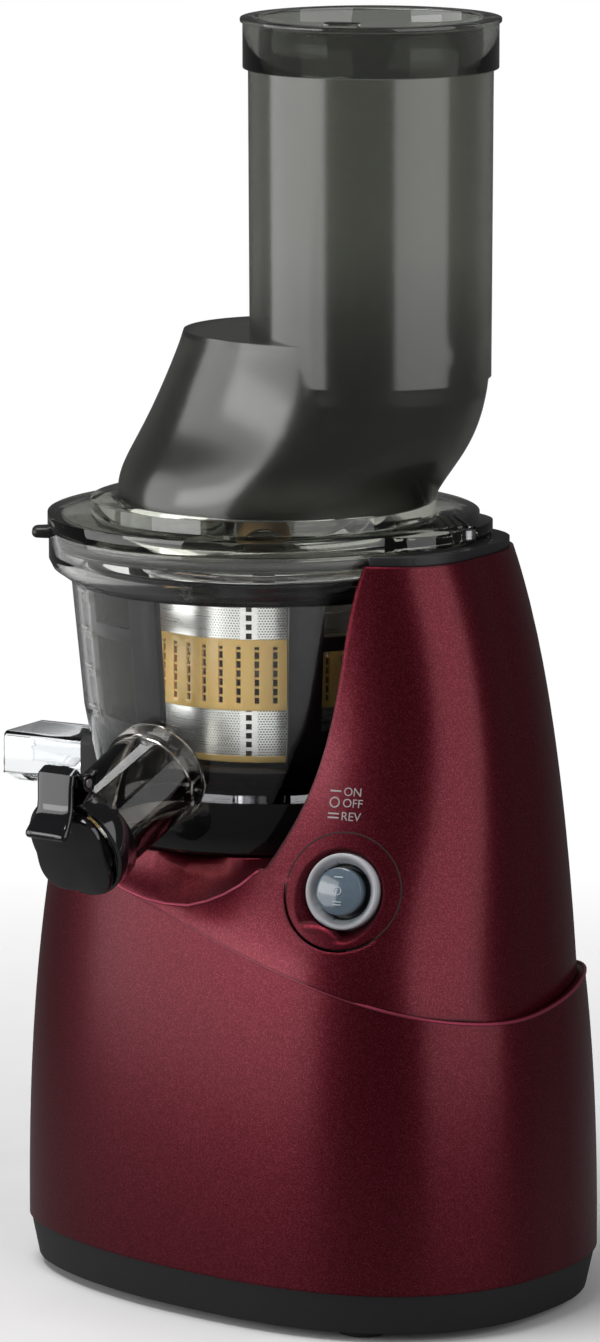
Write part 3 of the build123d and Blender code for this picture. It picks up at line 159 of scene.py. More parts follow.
def closed_up(obj: Obj, merge: float = 0.002) -> Obj:
    """Sews the doubles of a mesh and turns its faces outwards.

    Args:
        obj: the mesh object.
        merge: the distance under which points are one, in millimetres.

    Returns:
        The same object.
    """
    def work() -> None:
        """Sews and turns."""
        bpy.ops.mesh.remove_doubles(threshold=merge * MM)
        bpy.ops.mesh.dissolve_degenerate(threshold=merge * MM)
        bpy.ops.mesh.select_all(action="SELECT")
        bpy.ops.mesh.normals_make_consistent(inside=False)

    edit(obj, work)
    return obj


def named(obj: Obj, name: str) -> Obj:
    """Names an object and its mesh.

    Args:
        obj: the object.
        name: its new name.

    Returns:
        The same object.
    """
    obj.name = name
    obj.data.name = name
    return obj


def smooth(obj: Obj, angle: float = 32.0) -> Obj:
    """Shades a mesh smooth, except across sharp edges.

    Args:
        obj: the mesh object.
        angle: edges sharper than this many degrees stay sharp.

    Returns:
        The same object.
    """
    only(obj)
    bpy.ops.object.shade_smooth_by_angle(angle=math.radians(angle))
    return obj


def apply(obj: Obj, kind: str, **settings: Any) -> Obj:
    """Adds a modifier with its settings and applies it.

    Args:
        obj: the mesh object.
        kind: the modifier's Blender type.
        settings: the modifier's own settings.

    Returns:
        The same object.
    """
    only(obj)
    modifier = obj.modifiers.new(kind.title(), kind)
    for name, value in settings.items():
        setattr(modifier, name, value)
    bpy.ops.object.modifier_apply(modifier=modifier.name)
    return obj


def skin(name: str, rows: Sequence[Sequence[Vector]]) -> Obj:
    """A grid whose points are laid on rows of places; rows that meet are sewn shut.

    Args:
        name: the piece's name.
        rows: rows of places in millimetres, all of one length.

    Returns:
        The closed mesh object.
    """
    around, along = len(rows[0]), len(rows)
    bpy.ops.object.select_all(action="DESELECT")
    bpy.ops.mesh.primitive_grid_add(x_subdivisions=around - 1, y_subdivisions=along - 1, size=1)
    obj = named(bpy.context.object, name)
    places = [place * MM for row in rows for place in row]
    for vertex, place in zip(obj.data.vertices, places, strict=True):
        vertex.co = place
    return closed_up(obj)


def spun(name: str, outline: Sequence[Pair], place: Frame = BOWL, steps: int = 96) -> Obj:
    """A closed outline of (radius, height) turned once about a place's out direction.

    Args:
        name: the piece's name.
        outline: the section's points in order, in millimetres.
        place: where the axis stands.
        steps: the number of steps round the turn.

    Returns:
        The closed mesh object.
    """
    bpy.ops.object.select_all(action="DESELECT")
    bpy.ops.mesh.primitive_circle_add(vertices=len(outline), fill_type="NOTHING")
    obj = named(bpy.context.object, name)
    for vertex, (radius, height) in zip(obj.data.vertices, outline, strict=True):
        vertex.co = place.at(radius, 0.0, height) * MM

    def work() -> None:
        """Turns the outline once."""
        bpy.ops.mesh.spin(steps=steps, angle=math.tau, center=place.origin * MM, axis=place.out)

    edit(obj, work)
    return closed_up(obj)


def strap(name: str, place: Frame, path: Sequence[PathRow], steps: int = 28) -> Obj:
    """A flat bar with round edges that follows a path in a place's up and out plane.

    Args:
        name: the piece's name.
        place: the place that the path is drawn in.
        path: rows of (up, out, width, thickness), in millimetres.
        steps: the number of steps round the bar.

    Returns:
        The closed mesh object.
    """
    rows: list[list[Vector]] = []
    last = len(path) - 1
    squareness, roundness = 0.4, 0.7  # how the section's width and thickness bulge

    def loop(centre: Vector, normal: Vector, width: float, thick: float) -> None:
        """Adds one section of the bar."""
        row = []
        for step in range(steps + 1):
            turn = math.tau * step / steps
            c, s = math.cos(turn), math.sin(turn)
            x = width / 2 * math.copysign(abs(c) ** squareness, c)
            y = thick / 2 * math.copysign(abs(s) ** roundness, s)
            row.append(place.at(x, centre.x + normal.x * y, centre.y + normal.y * y))
        rows.append(row)

    for i, (up, out, width, thick) in enumerate(path):
        here = Vector((up, out))
        way = (Vector(path[min(i + 1, last)][:2]) - Vector(path[max(i - 1, 0)][:2])).normalized()
        normal = Vector((-way.y, way.x))
        caps = {0: (-1.0, -0.87, -0.5, 0.0), last: (0.0, 0.5, 0.87, 1.0)}.get(i, (0.0,))
        for share in caps:
            scale = math.sqrt(max(0.0, 1.0 - share * share))
            side = width - thick * (1.0 - scale) if scale else 0.0
            loop(here + way * thick / 2 * share, normal, side, thick * scale)
    return skin(name, rows)


def slid(obj: Obj, place: Frame, start: float, end: float, shift: float,
         reach: float = 1000.0) -> Obj:
    """Lengthens a piece along a place's out direction.

    Args:
        obj: the piece.
        place: the place whose out direction it runs along.
        start: where it starts to stretch, in millimetres out.
        end: where it has moved by the whole shift.
        shift: how far its end moves.
        reach: points farther than this from the place's axis stay.

    Returns:
        The same piece.
    """
    for vertex in obj.data.vertices:
        away = vertex.co / MM - place.origin
        along = away.dot(place.out)
        if (away - place.out * along).length < reach:
            share = min(1.0, max(0.0, (along - start) / (end - start)))
            vertex.co += place.out * (shift * share * MM)
    return obj


def printed(obj: Obj, target: Obj, place: Frame, thick: float = PRINT_FILM) -> Obj:
    """Lays a flat mark on a piece's surface, seen along a place's out direction, as a thin film.

    Args:
        obj: the flat mark.
        target: the piece that carries it.
        place: the place that the mark is drawn in.
        thick: the film's thickness, in millimetres.

    Returns:
        The same mark.
    """
    bpy.context.view_layer.update()
    for vertex in obj.data.vertices:
        hit, spot, _, _ = target.ray_cast(vertex.co + place.out * PRINT_START * MM, -place.out)
        if hit:
            vertex.co = spot + place.out * PRINT_GAP * MM
    return apply(obj, "SOLIDIFY", thickness=thick * MM, offset=1.0)


def word(name: str, text: str, place: Frame, x: float, y: float, height: float) -> Obj:
    """A flat word in a place's plane, with its left end at x and its foot at y.

    Args:
        name: the piece's name.
        text: the word.
        place: the place that it is drawn in.
        x: its left end, in millimetres across.
        y: its foot, in millimetres up.
        height: the height of its letters.

    Returns:
        The flat mesh object.
    """
    bpy.ops.object.select_all(action="DESELECT")
    bpy.ops.object.text_add()
    obj = bpy.context.object
    obj.data.body = text
    bpy.ops.object.convert(target="MESH")
    obj = named(bpy.context.object, name)
    low = Vector((min(v.co.x for v in obj.data.vertices), min(v.co.y for v in obj.data.vertices)))
    scale = height / (max(v.co.y for v in obj.data.vertices) - low.y)
    for vertex in obj.data.vertices:
        flat = (vertex.co.xy - low) * scale
        vertex.co = place.at(x + flat.x, y + flat.y, 0.0) * MM
    edit(obj, lambda: bpy.ops.mesh.quads_convert_to_tris())
    return obj


class MarkShape(Enum):
    """The shapes of printed marks."""

    BAR = "bar"
    RING = "ring"


@dataclass(frozen=True)
class Mark:
    """A flat mark about a point of a place's plane, in millimetres."""

    shape: MarkShape
    x: float
    y: float
    size: float
    line: float
    bar_steps: int = 8
    ring_steps: int = 32

    def draw(self, name: str, place: Frame) -> Obj:
        """Draws the mark flat; size is a bar's length or a ring's radius, line is how wide it is.

        Args:
            name: the piece's name.
            place: the place that it is drawn in.

        Returns:
            The flat mesh object.
        """
        if self.shape is MarkShape.BAR:
            shares = [step / self.bar_steps - 0.5 for step in range(self.bar_steps + 1)]
            rows = [[(self.x + self.size * share, self.y + side * self.line / 2)
                     for share in shares] for side in (-1, 1)]
        else:
            turns = [math.tau * step / self.ring_steps for step in range(self.ring_steps + 1)]
            rows = [[(self.x + r * math.cos(t), self.y + r * math.sin(t)) for t in turns]
                    for r in (self.size - self.line, self.size)]
        return skin(name, [[place.at(x, y, 0.0) for x, y in row] for row in rows])


def recast(node: str, ease: float = 0.0, segments: int = 2, angle: float = 35.0,
           key: str = "") -> Obj:
    """A fresh copy of a CAD node with merged points and softened edges, which stands for the node.

    Args:
        node: the CAD node.
        ease: the width of its softened edges, in millimetres; 0 leaves them.
        segments: steps across each softened edge.
        angle: edges sharper than this many degrees are softened.
        key: its finish, if it isn't its slot's.

    Returns:
        The new object, dressed.
    """
    source = frame["nodes"][node]
    obj = bpy.data.objects.new(f"{node}_dressed", source.data.copy())
    bpy.context.scene.collection.objects.link(obj)
    obj.data.name = obj.name
    edit(obj, lambda: bpy.ops.mesh.customdata_custom_splitnormals_clear())
    closed_up(obj)
    if ease:
        edit(obj, lambda: bpy.ops.mesh.dissolve_limited(angle_limit=math.radians(0.5)))
        apply(obj, "BEVEL", width=ease * MM, segments=segments, limit_method="ANGLE",
              angle_limit=math.radians(angle), use_clamp_overlap=True, harden_normals=False)
    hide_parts(node)
    return extra(obj, node, key or SLOT_OF[node])


BODY_OF = {node: body for body, nodes in frame["record"]["behaviour"]["bodies"].items()
           for node in nodes}
SLOT_OF = {piece["node"]: piece["material_slot"] for piece in frame["record"]["subparts"]}


# ---- shader effects
class Graph:
    """A node tree with short ways to add nodes and join them."""

    def __init__(self, tree: Tree) -> None:
        """Takes over a tree."""
        self.tree = tree

    def link(self, source: Socket, target: Socket) -> None:
        """Feeds one socket from another."""
        self.tree.links.new(source, target)

    def place(self) -> Socket:
        """The point in Object coordinates."""
        return self.add("ShaderNodeTexCoord").outputs["Object"]

    def node(self, kind: str) -> Node:
        """The tree's first node of a type."""
        return next(node for node in self.tree.nodes if node.type == kind)

    def add(self, kind: str, values: dict[Any, Any] | None = None, **settings: Any) -> Node:
        """Adds a node.

        Args:
            kind: the node's Blender type.
            values: input names or numbers to a value, or to the socket that feeds them.
            settings: the node's own settings.

        Returns:
            The node.
        """
        node = self.tree.nodes.new(kind)
        for name, value in settings.items():
            setattr(node, name, value)
        return self.feed(node, values or {})

    def feed(self, node: Node, values: dict[Any, Any]) -> Node:
        """Fills in a node's inputs.

        Args:
            node: the node.
            values: input names or numbers to a value, or to the socket that feeds them.

        Returns:
            The same node.
        """
        for name, value in values.items():
            if isinstance(value, Socket):
                self.link(value, node.inputs[name])
            else:
                node.inputs[name].default_value = value
        return node

    def maths(self, operation: str, *values: Any) -> Socket:
        """A Math node's result."""
        return self.add("ShaderNodeMath", dict(enumerate(values)), operation=operation).outputs[0]

    def span(self, value: Any, low: float, high: float,
             start: float = 0.0, end: float = 1.0) -> Socket:
        """A value moved from one span to another, and held inside it."""
        values = {"Value": value, "From Min": low, "From Max": high,
                  "To Min": start, "To Max": end}
        return self.add("ShaderNodeMapRange", values).outputs["Result"]

    def mix(self, factor: Any, first: Any, second: Any) -> Socket:
        """A mix of two colours.

        Args:
            factor: the share of the second, a number or a socket.
            first: a colour or a socket.
            second: a colour or a socket.

        Returns:
            The mixed colour's socket.
        """
        first, second = (value if isinstance(value, Socket) else (*value, 1.0)
                         for value in (first, second))
        node = self.add("ShaderNodeMix", {0: factor, 6: first, 7: second}, data_type="RGBA")
        return node.outputs[2]


class Effect(Enum):
    """The shared shader effects."""

    GRAIN = "moulded_grain"
    FLAKE = "paint_flake"
    HOLES = "screen_holes"
    LINES = "drawn_lines"


def group_of(effect: Effect) -> Tree:
    """The node group of an effect, built the first time it is asked for."""
    found = bpy.data.node_groups.get(effect.value)
    return found or {Effect.GRAIN: grain_group, Effect.FLAKE: flake_group,
                     Effect.HOLES: holes_group, Effect.LINES: lines_group}[effect]()


def new_group(effect: Effect, inputs: dict[str, float],
              outputs: Iterable[str]) -> tuple[Graph, Node, Node]:
    """An empty node group.

    Args:
        effect: which effect it is.
        inputs: its number inputs with their defaults.
        outputs: its number outputs.

    Returns:
        Its graph, its input node and its output node.
    """
    tree = bpy.data.node_groups.new(effect.value, "ShaderNodeTree")
    for name, value in inputs.items():
        socket = tree.interface.new_socket(name, in_out="INPUT", socket_type="NodeSocketFloat")
        socket.default_value = value
    for name in outputs:
        tree.interface.new_socket(name, in_out="OUTPUT", socket_type="NodeSocketFloat")
    graph = Graph(tree)
    return graph, graph.add("NodeGroupInput"), graph.add("NodeGroupOutput")


def grain_group() -> Tree:
    """Moulded skin: a fine height, and a slow change of roughness from touch and polish.

    Returns:
        The node group.
    """
    inputs = {"Scale": 900.0, "Rough": 0.4, "Spread": 0.05}
    graph, given, result = new_group(Effect.GRAIN, inputs, ("Height", "Roughness"))
    place = graph.place()
    fine = graph.add("ShaderNodeTexNoise", {"Vector": place, "Scale": given.outputs["Scale"],
                                            "Detail": 3.0})
    slow = graph.add("ShaderNodeTexNoise", {"Vector": place, "Scale": 22.0, "Detail": 4.0,
                                            "Roughness": 0.6})
    swing = graph.maths("MULTIPLY", graph.maths("SUBTRACT", slow.outputs["Fac"], 0.5), 2.0)
    rough = graph.maths("MULTIPLY_ADD", swing, given.outputs["Spread"], given.outputs["Rough"])
    graph.link(fine.outputs["Fac"], result.inputs["Height"])
    graph.link(rough, result.inputs["Roughness"])
    return graph.tree


def flake_group() -> Tree:
    """Metallic paint: bright flakes, and the height of the lacquer's soft orange peel.

    Returns:
        The node group.
    """
    inputs = {"Scale": 3800.0, "Peel": 420.0}
    graph, given, result = new_group(Effect.FLAKE, inputs, ("Flake", "Height"))
    place = graph.place()
    cells = graph.add("ShaderNodeTexVoronoi", {"Vector": place, "Scale": given.outputs["Scale"]})
    spark = graph.add("ShaderNodeSeparateColor", {"Color": cells.outputs["Color"]}).outputs[0]
    peel = graph.add("ShaderNodeTexNoise", {"Vector": place, "Scale": given.outputs["Peel"],
                                            "Detail": 1.0})
    graph.link(graph.span(spark, 0.55, 1.0), result.inputs["Flake"])
    graph.link(peel.outputs["Fac"], result.inputs["Height"])
    return graph.tree


def holes_group() -> Tree:
    """A wrapped sheet's staggered holes and its plain seam with a ladder of slots.

    Returns:
        The node group, whose Metal is 0 in a hole and 1 on metal.
    """
    inputs = {"Radius": 0.041, "Pitch": 0.001, "Hole": 0.00028, "Across": 0.0, "Along": 0.0,
              "Seam": math.radians(-67.0), "Strip": 0.0031, "Rung": 0.0032, "Slot": 0.00105}
    graph, given, result = new_group(Effect.HOLES, inputs, ("Metal",))
    do = graph.maths
    pitch, rung, slot = (given.outputs[name] for name in ("Pitch", "Rung", "Slot"))
    row_share = 0.866  # the rows of a staggered sheet stand this share of the pitch apart
    place = graph.add("ShaderNodeSeparateXYZ", {0: graph.place()})
    x = do("SUBTRACT", place.outputs[0], given.outputs["Across"])
    y = do("SUBTRACT", place.outputs[1], given.outputs["Along"])
    turn = do("SUBTRACT", do("ARCTAN2", y, x), given.outputs["Seam"])
    arc = do("MULTIPLY", turn, given.outputs["Radius"])
    row = do("DIVIDE", place.outputs[2], do("MULTIPLY", pitch, row_share))
    odd = do("MODULO", do("FLOOR", row), 2.0)
    shifted = do("MULTIPLY_ADD", odd, 0.5, do("DIVIDE", arc, pitch))
    across = do("SUBTRACT", do("FRACT", shifted), 0.5)
    up = do("MULTIPLY", do("SUBTRACT", do("FRACT", row), 0.5), row_share)
    away = do("SQRT", do("ADD", do("MULTIPLY", across, across), do("MULTIPLY", up, up)))
    sheet = do("GREATER_THAN", away, do("DIVIDE", given.outputs["Hole"], pitch))
    aside = do("ABSOLUTE", arc)
    seam = do("LESS_THAN", aside, given.outputs["Strip"])
    step = do("SUBTRACT", do("FRACT", do("DIVIDE", place.outputs[2], rung)), 0.5)
    between = do("LESS_THAN", do("MULTIPLY", do("ABSOLUTE", step), rung), slot)
    square = do("MULTIPLY", between, do("LESS_THAN", aside, slot))
    graph.link(do("SUBTRACT", do("MAXIMUM", sheet, seam), square), result.inputs["Metal"])
    return graph.tree


def lines_group() -> Tree:
    """Drawn or turned metal: fine streaks that run level round an upright piece.

    Returns:
        The node group.
    """
    inputs = {"Scale": 60.0, "Rough": 0.3}
    graph, given, result = new_group(Effect.LINES, inputs, ("Height", "Roughness"))
    mapping = graph.add("ShaderNodeMapping", {"Vector": graph.place(), "Scale": (1.0, 1.0, 40.0)})
    streak = graph.add("ShaderNodeTexNoise", {"Vector": mapping.outputs[0], "Detail": 4.0,
                                              "Scale": given.outputs["Scale"]})
    swing = graph.maths("SUBTRACT", streak.outputs["Fac"], 0.5)
    rough = graph.maths("MULTIPLY_ADD", swing, 0.3, given.outputs["Rough"])
    graph.link(streak.outputs["Fac"], result.inputs["Height"])
    graph.link(rough, result.inputs["Roughness"])
    return graph.tree


# ---- finishes
@dataclass(frozen=True)
class Finish:
    """The common part of a finish: its name and colour."""

    name: str
    colour: Colour

    def start(self) -> tuple[Material, Graph, Node]:
        """Starts the finish's material.

        Returns:
            The material, its graph and its Principled shader.
        """
        material = bpy.data.materials.new(self.name)
        material.use_nodes = True
        graph = Graph(material.node_tree)
        shader = graph.node("BSDF_PRINCIPLED")
        shader.inputs["Base Color"].default_value = (*self.colour, 1.0)
        material.diffuse_color = (*self.colour, 1.0)
        return material, graph, shader

    def make(self) -> Material:
        """Builds the material; each kind of finish has its own way."""
        raise NotImplementedError

    def group(self, graph: Graph, effect: Effect, **values: float) -> Node:
        """Places an effect in the material.

        Args:
            graph: the material's graph.
            effect: which effect.
            values: its inputs that differ from their defaults.

        Returns:
            The group's node.
        """
        return graph.feed(graph.add("ShaderNodeGroup", node_tree=group_of(effect)), values)

    def bump(self, graph: Graph, shader: Node, height: Socket, depth: float,
             ease: float = 0.5) -> None:
        """Gives the shader a surface: a height over softened edges.

        Args:
            graph: the material's graph.
            shader: its Principled shader.
            height: the socket of the height.
            depth: how deep the height is, in millimetres.
            ease: the radius of the softened edges, in millimetres; 0 leaves them sharp.
        """
        values = {"Height": height, "Strength": 1.0, "Distance": depth * MM}
        if ease:
            edge = graph.add("ShaderNodeBevel", {"Radius": ease * MM}, samples=4)
            values["Normal"] = edge.outputs["Normal"]
        bumped = graph.add("ShaderNodeBump", values)
        graph.link(bumped.outputs["Normal"], shader.inputs["Normal"])


@dataclass(frozen=True)
class MetallicPaint(Finish):
    """Satin metallic lacquer with fine flakes."""

    flake: Colour = (0.4, 0.06, 0.11)
    flake_share: float = 0.3
    roughness: float = 0.33
    metal: float = 0.8
    coat: float = 0.25
    coat_roughness: float = 0.22
    shine: float = 0.3
    peel: float = 0.006
    edge: float = 1.3

    def make(self) -> Material:
        """Builds the material.

        Returns:
            The material.
        """
        material, graph, shader = self.start()
        flake = self.group(graph, Effect.FLAKE)
        grain = self.group(graph, Effect.GRAIN, Rough=self.roughness, Spread=0.02)
        amount = graph.maths("MULTIPLY", flake.outputs["Flake"], self.flake_share)
        graph.feed(shader, {"Base Color": graph.mix(amount, self.colour, self.flake),
                            "Roughness": grain.outputs["Roughness"], "Metallic": self.metal,
                            "Coat Weight": self.coat, "Coat Roughness": self.coat_roughness,
                            "Specular IOR Level": self.shine})
        self.bump(graph, shader, flake.outputs["Height"], self.peel, self.edge)
        return material


@dataclass(frozen=True)
class ClearPlastic(Finish):
    """Clear or smoked plastic that light passes through."""

    roughness: float = 0.03
    shine: float = 0.5
    index: float = 1.49
    # foot and edge are painted shade: the tint turns to foot low down and to edge where seen aslant.
    foot: Colour | None = None
    foot_span: Pair = (0.187, 0.201)
    edge: Colour | None = None
    edge_span: Pair = (0.5, 0.8)
    ripple: float = 0.002
    ripple_scale: float = 160.0

    def make(self) -> Material:
        """Builds the material; foot and edge darken it low down and where seen aslant, as painted
        shade.

        Returns:
            The material.
        """
        material, graph, shader = self.start()
        grain = self.group(graph, Effect.GRAIN, Rough=self.roughness, Spread=0.015,
                           Scale=self.ripple_scale)
        graph.feed(shader, {"Roughness": grain.outputs["Roughness"], "Transmission Weight": 1.0,
                            "IOR": self.index, "Specular IOR Level": self.shine})
        tint: Any = self.colour
        # Painted shade: the plastic turns darker low down.
        if self.foot:
            place = graph.add("ShaderNodeSeparateXYZ", {0: graph.place()})
            low = graph.span(place.outputs[2], *self.foot_span, 1.0, 0.0)
            tint = graph.mix(low, tint, self.foot)
        # Painted shade: the plastic turns darker where it is seen aslant.
        if self.edge:
            facing = graph.add("ShaderNodeLayerWeight", {"Blend": 0.5}).outputs["Facing"]
            tint = graph.mix(graph.span(facing, *self.edge_span), tint, self.edge)
        if tint is not self.colour:
            graph.link(tint, shader.inputs["Base Color"])
        self.bump(graph, shader, grain.outputs["Height"], self.ripple, 0.0)
        self.let_light_in(graph, shader)
        return material

    def let_light_in(self, graph: Graph, shader: Node) -> None:
        """Lets lamps shine through the plastic, tinted by it.

        Args:
            graph: the material's graph.
            shader: its Principled shader.
        """
        tint = (*(math.sqrt(channel) for channel in self.colour), 1.0)
        through = graph.add("ShaderNodeBsdfTransparent", {"Color": tint})
        shadow = graph.add("ShaderNodeLightPath").outputs["Is Shadow Ray"]
        mixed = graph.add("ShaderNodeMixShader", {0: shadow, 1: shader.outputs[0],
                                                  2: through.outputs[0]})
        graph.link(mixed.outputs[0], graph.node("OUTPUT_MATERIAL").inputs["Surface"])


@dataclass(frozen=True)
class Moulded(Finish):
    """Moulded plastic or rubber, from satin to polished."""

    roughness: float = 0.4
    scale: float = 900.0
    depth: float = 0.02
    coat: float = 0.0
    shine: float = 0.5
    shade: float = 0.82
    coat_roughness: float = 0.06

    def make(self) -> Material:
        """Builds the material.

        Returns:
            The material.
        """
        material, graph, shader = self.start()
        grain = self.group(graph, Effect.GRAIN, Rough=self.roughness, Spread=0.05, Scale=self.scale)
        tint = graph.span(grain.outputs["Height"], 0.3, 0.7)
        shade = tuple(channel * self.shade for channel in self.colour)
        graph.feed(shader, {"Base Color": graph.mix(tint, shade, self.colour),
                            "Roughness": grain.outputs["Roughness"], "Coat Weight": self.coat,
                            "Coat Roughness": self.coat_roughness,
                            "Specular IOR Level": self.shine})
        self.bump(graph, shader, grain.outputs["Height"], self.depth)
        return material


@dataclass(frozen=True)
class Translucent(Finish):
    """Tinted plastic or silicone that glows a little in the light."""

    roughness: float = 0.25
    clarity: float = 0.5
    glow: float = 0.3
    depth: float = 0.003
    index: float = 1.43
    grain: float = 0.01
    grain_scale: float = 500.0

    def make(self) -> Material:
        """Builds the material.

        Returns:
            The material.
        """
        material, graph, shader = self.start()
        grain = self.group(graph, Effect.GRAIN, Rough=self.roughness, Spread=0.04,
                           Scale=self.grain_scale)
        graph.feed(shader, {"Roughness": grain.outputs["Roughness"], "IOR": self.index,
                            "Transmission Weight": self.clarity, "Subsurface Weight": self.glow,
                            "Subsurface Scale": self.depth})
        self.bump(graph, shader, grain.outputs["Height"], self.grain)
        return material


@dataclass(frozen=True)
class Metal(Finish):
    """Drawn, turned or cast metal."""

    roughness: float = 0.3
    cast: bool = False
    cast_depth: float = 0.04
    line_depth: float = 0.006

    def make(self) -> Material:
        """Builds the material.

        Returns:
            The material.
        """
        material, graph, shader = self.start()
        effect, depth = ((Effect.GRAIN, self.cast_depth) if self.cast
                         else (Effect.LINES, self.line_depth))
        surface = self.group(graph, effect, Rough=self.roughness)
        graph.feed(shader, {"Roughness": surface.outputs["Roughness"], "Metallic": 1.0})
        self.bump(graph, shader, surface.outputs["Height"], depth)
        return material


@dataclass(frozen=True)
class Perforated(Finish):
    """Bright sheet steel, wrapped round the bowl's axis and pierced all over."""

    pitch: float = 1.05
    hole: float = 0.3
    roughness: float = 0.3
    metal: float = 0.9

    def make(self) -> Material:
        """Builds the material.

        Returns:
            The material.
        """
        material, graph, shader = self.start()
        holes = self.group(graph, Effect.HOLES, Pitch=self.pitch * MM, Hole=self.hole * MM,
                           Across=BOWL_AXIS.x * MM, Along=BOWL_AXIS.y * MM)
        lines = self.group(graph, Effect.LINES, Rough=self.roughness)
        graph.feed(shader, {"Alpha": holes.outputs["Metal"], "Metallic": self.metal,
                            "Roughness": lines.outputs["Roughness"]})
        return material


FINISHES: dict[str, Finish] = {
    "housing_paint": MetallicPaint("burgundy_lacquer", (0.09, 0.0024, 0.0085)),
    "black_satin": Moulded("black_satin_plastic", (0.016, 0.016, 0.018), 0.42),
    "black_gloss": Moulded("black_polished_plastic", (0.006, 0.006, 0.007), 0.07, 400.0, 0.004,
                           0.6),
    # The chute's and the bowl's plastics carry painted shade: darker low down and where seen aslant.
    "smoke_clear": ClearPlastic("smoke_plastic", (0.22, 0.225, 0.2), 0.17, 0.85, 1.66,
                                (0.1, 0.1, 0.09), (0.325, 0.37), (0.07, 0.07, 0.06), (0.8, 0.98)),
    "collar_smoke": ClearPlastic("collar_plastic", (0.14, 0.145, 0.13), 0.03, 0.9, 1.6),
    "lid_smoke": ClearPlastic("lid_plastic", (0.3, 0.31, 0.27), 0.03, 0.9, 1.55),
    "bowl_clear": ClearPlastic("pale_smoke_plastic", (0.95, 0.955, 0.94), 0.02, 0.18,
                               foot=(0.27, 0.27, 0.28), edge=(0.05, 0.05, 0.055)),
    "frame_black": Moulded("frame_plastic", (0.004, 0.004, 0.005), 0.3, 400.0, 0.004, 0.0, 0.12),
    # A lighter copy of the burgundy lacquer for the seam bead and the seat's lip: a painted
    # highlight.
    "painted_highlight_lacquer": MetallicPaint("painted_highlight_lacquer", (0.42, 0.06, 0.11)),
    # A dark ring printed in the groove round the switch: painted shade.
    "groove": Moulded("groove_shadow", (0.016, 0.0006, 0.0015), 0.6),
    "rocker_print": Moulded("rocker_print", (0.5, 0.56, 0.6), 0.4),
    "print": Moulded("white_print", (0.72, 0.72, 0.7), 0.5),
    "switch_print": Moulded("pale_print", (0.42, 0.36, 0.37), 0.5),
    "spout_smoke": ClearPlastic("spout_plastic", (0.55, 0.53, 0.49), 0.03, 0.7),
    "clear": ClearPlastic("clear_plastic", (0.93, 0.95, 0.96), 0.04),
    "smoke_seal": Moulded("smoked_seal", (0.02, 0.02, 0.018), 0.35),
    "bezel": Translucent("frosted_ring", (0.5, 0.51, 0.54), 0.3, 0.2, 0.3),
    "amber": Translucent("amber_plastic", (0.95, 0.62, 0.22), 0.2, 0.35, 0.3),
    "screen_steel": Perforated("pierced_steel", (0.96, 0.96, 0.95)),
    "motor_steel": Metal("zinc_steel", (0.5, 0.5, 0.52), 0.35),
    "lamination": Metal("varnished_laminations", (0.12, 0.11, 0.11), 0.5),
    "bearing_steel": Metal("ground_steel", (0.72, 0.72, 0.74), 0.18),
    "bronze": Metal("sintered_bronze", (0.6, 0.36, 0.16), 0.4, True),
    "cast_zinc": Metal("cast_zinc", (0.45, 0.45, 0.47), 0.5, True),
    "gear_white": Moulded("gear_resin", (0.78, 0.76, 0.7), 0.4),
    "auger_resin": Moulded("screw_resin", (0.05, 0.035, 0.03), 0.3, 600.0, 0.01, 0.2),
    "rubber_black": Moulded("black_rubber", (0.014, 0.014, 0.014), 0.6, 1400.0, 0.03),
    "silicone_pale": Translucent("pale_silicone", (0.82, 0.82, 0.79), 0.35, 0.35, 0.5),
    "rocker_blue": Moulded("rocker_plastic", (0.11, 0.15, 0.19), 0.12, 300.0, 0.003, 0.8),
    "board_green": Moulded("coated_board", (0.02, 0.12, 0.05), 0.3),
    "magnet": Metal("plated_magnet", (0.4, 0.4, 0.42), 0.25),
}
MADE: dict[str, Material] = {}


def finish(key: str) -> Material:
    """The material of a slot, made the first time it is asked for.

    Args:
        key: the slot, or a finish of the scene's own.

    Returns:
        The material.
    """
    if key not in MADE:
        MADE[key] = FINISHES[key].make()
    return MADE[key]


def dress(obj: Obj, key: str) -> Obj:
    """Gives an object one finish all over.

    Args:
        obj: the object.
        key: the finish.

    Returns:
        The same object.
    """
    obj.data.materials.clear()
    obj.data.materials.append(finish(key))
    return obj


def extra(obj: Obj, node: str, key: str) -> Obj:
    """Lets a piece ride with a CAD node and in a finish of its own.

    Args:
        obj: the piece.
        node: the CAD node.
        key: its finish.

    Returns:
        The same object.
    """
    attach(obj, BODY_OF[node])
    return dress(smooth(obj), key)


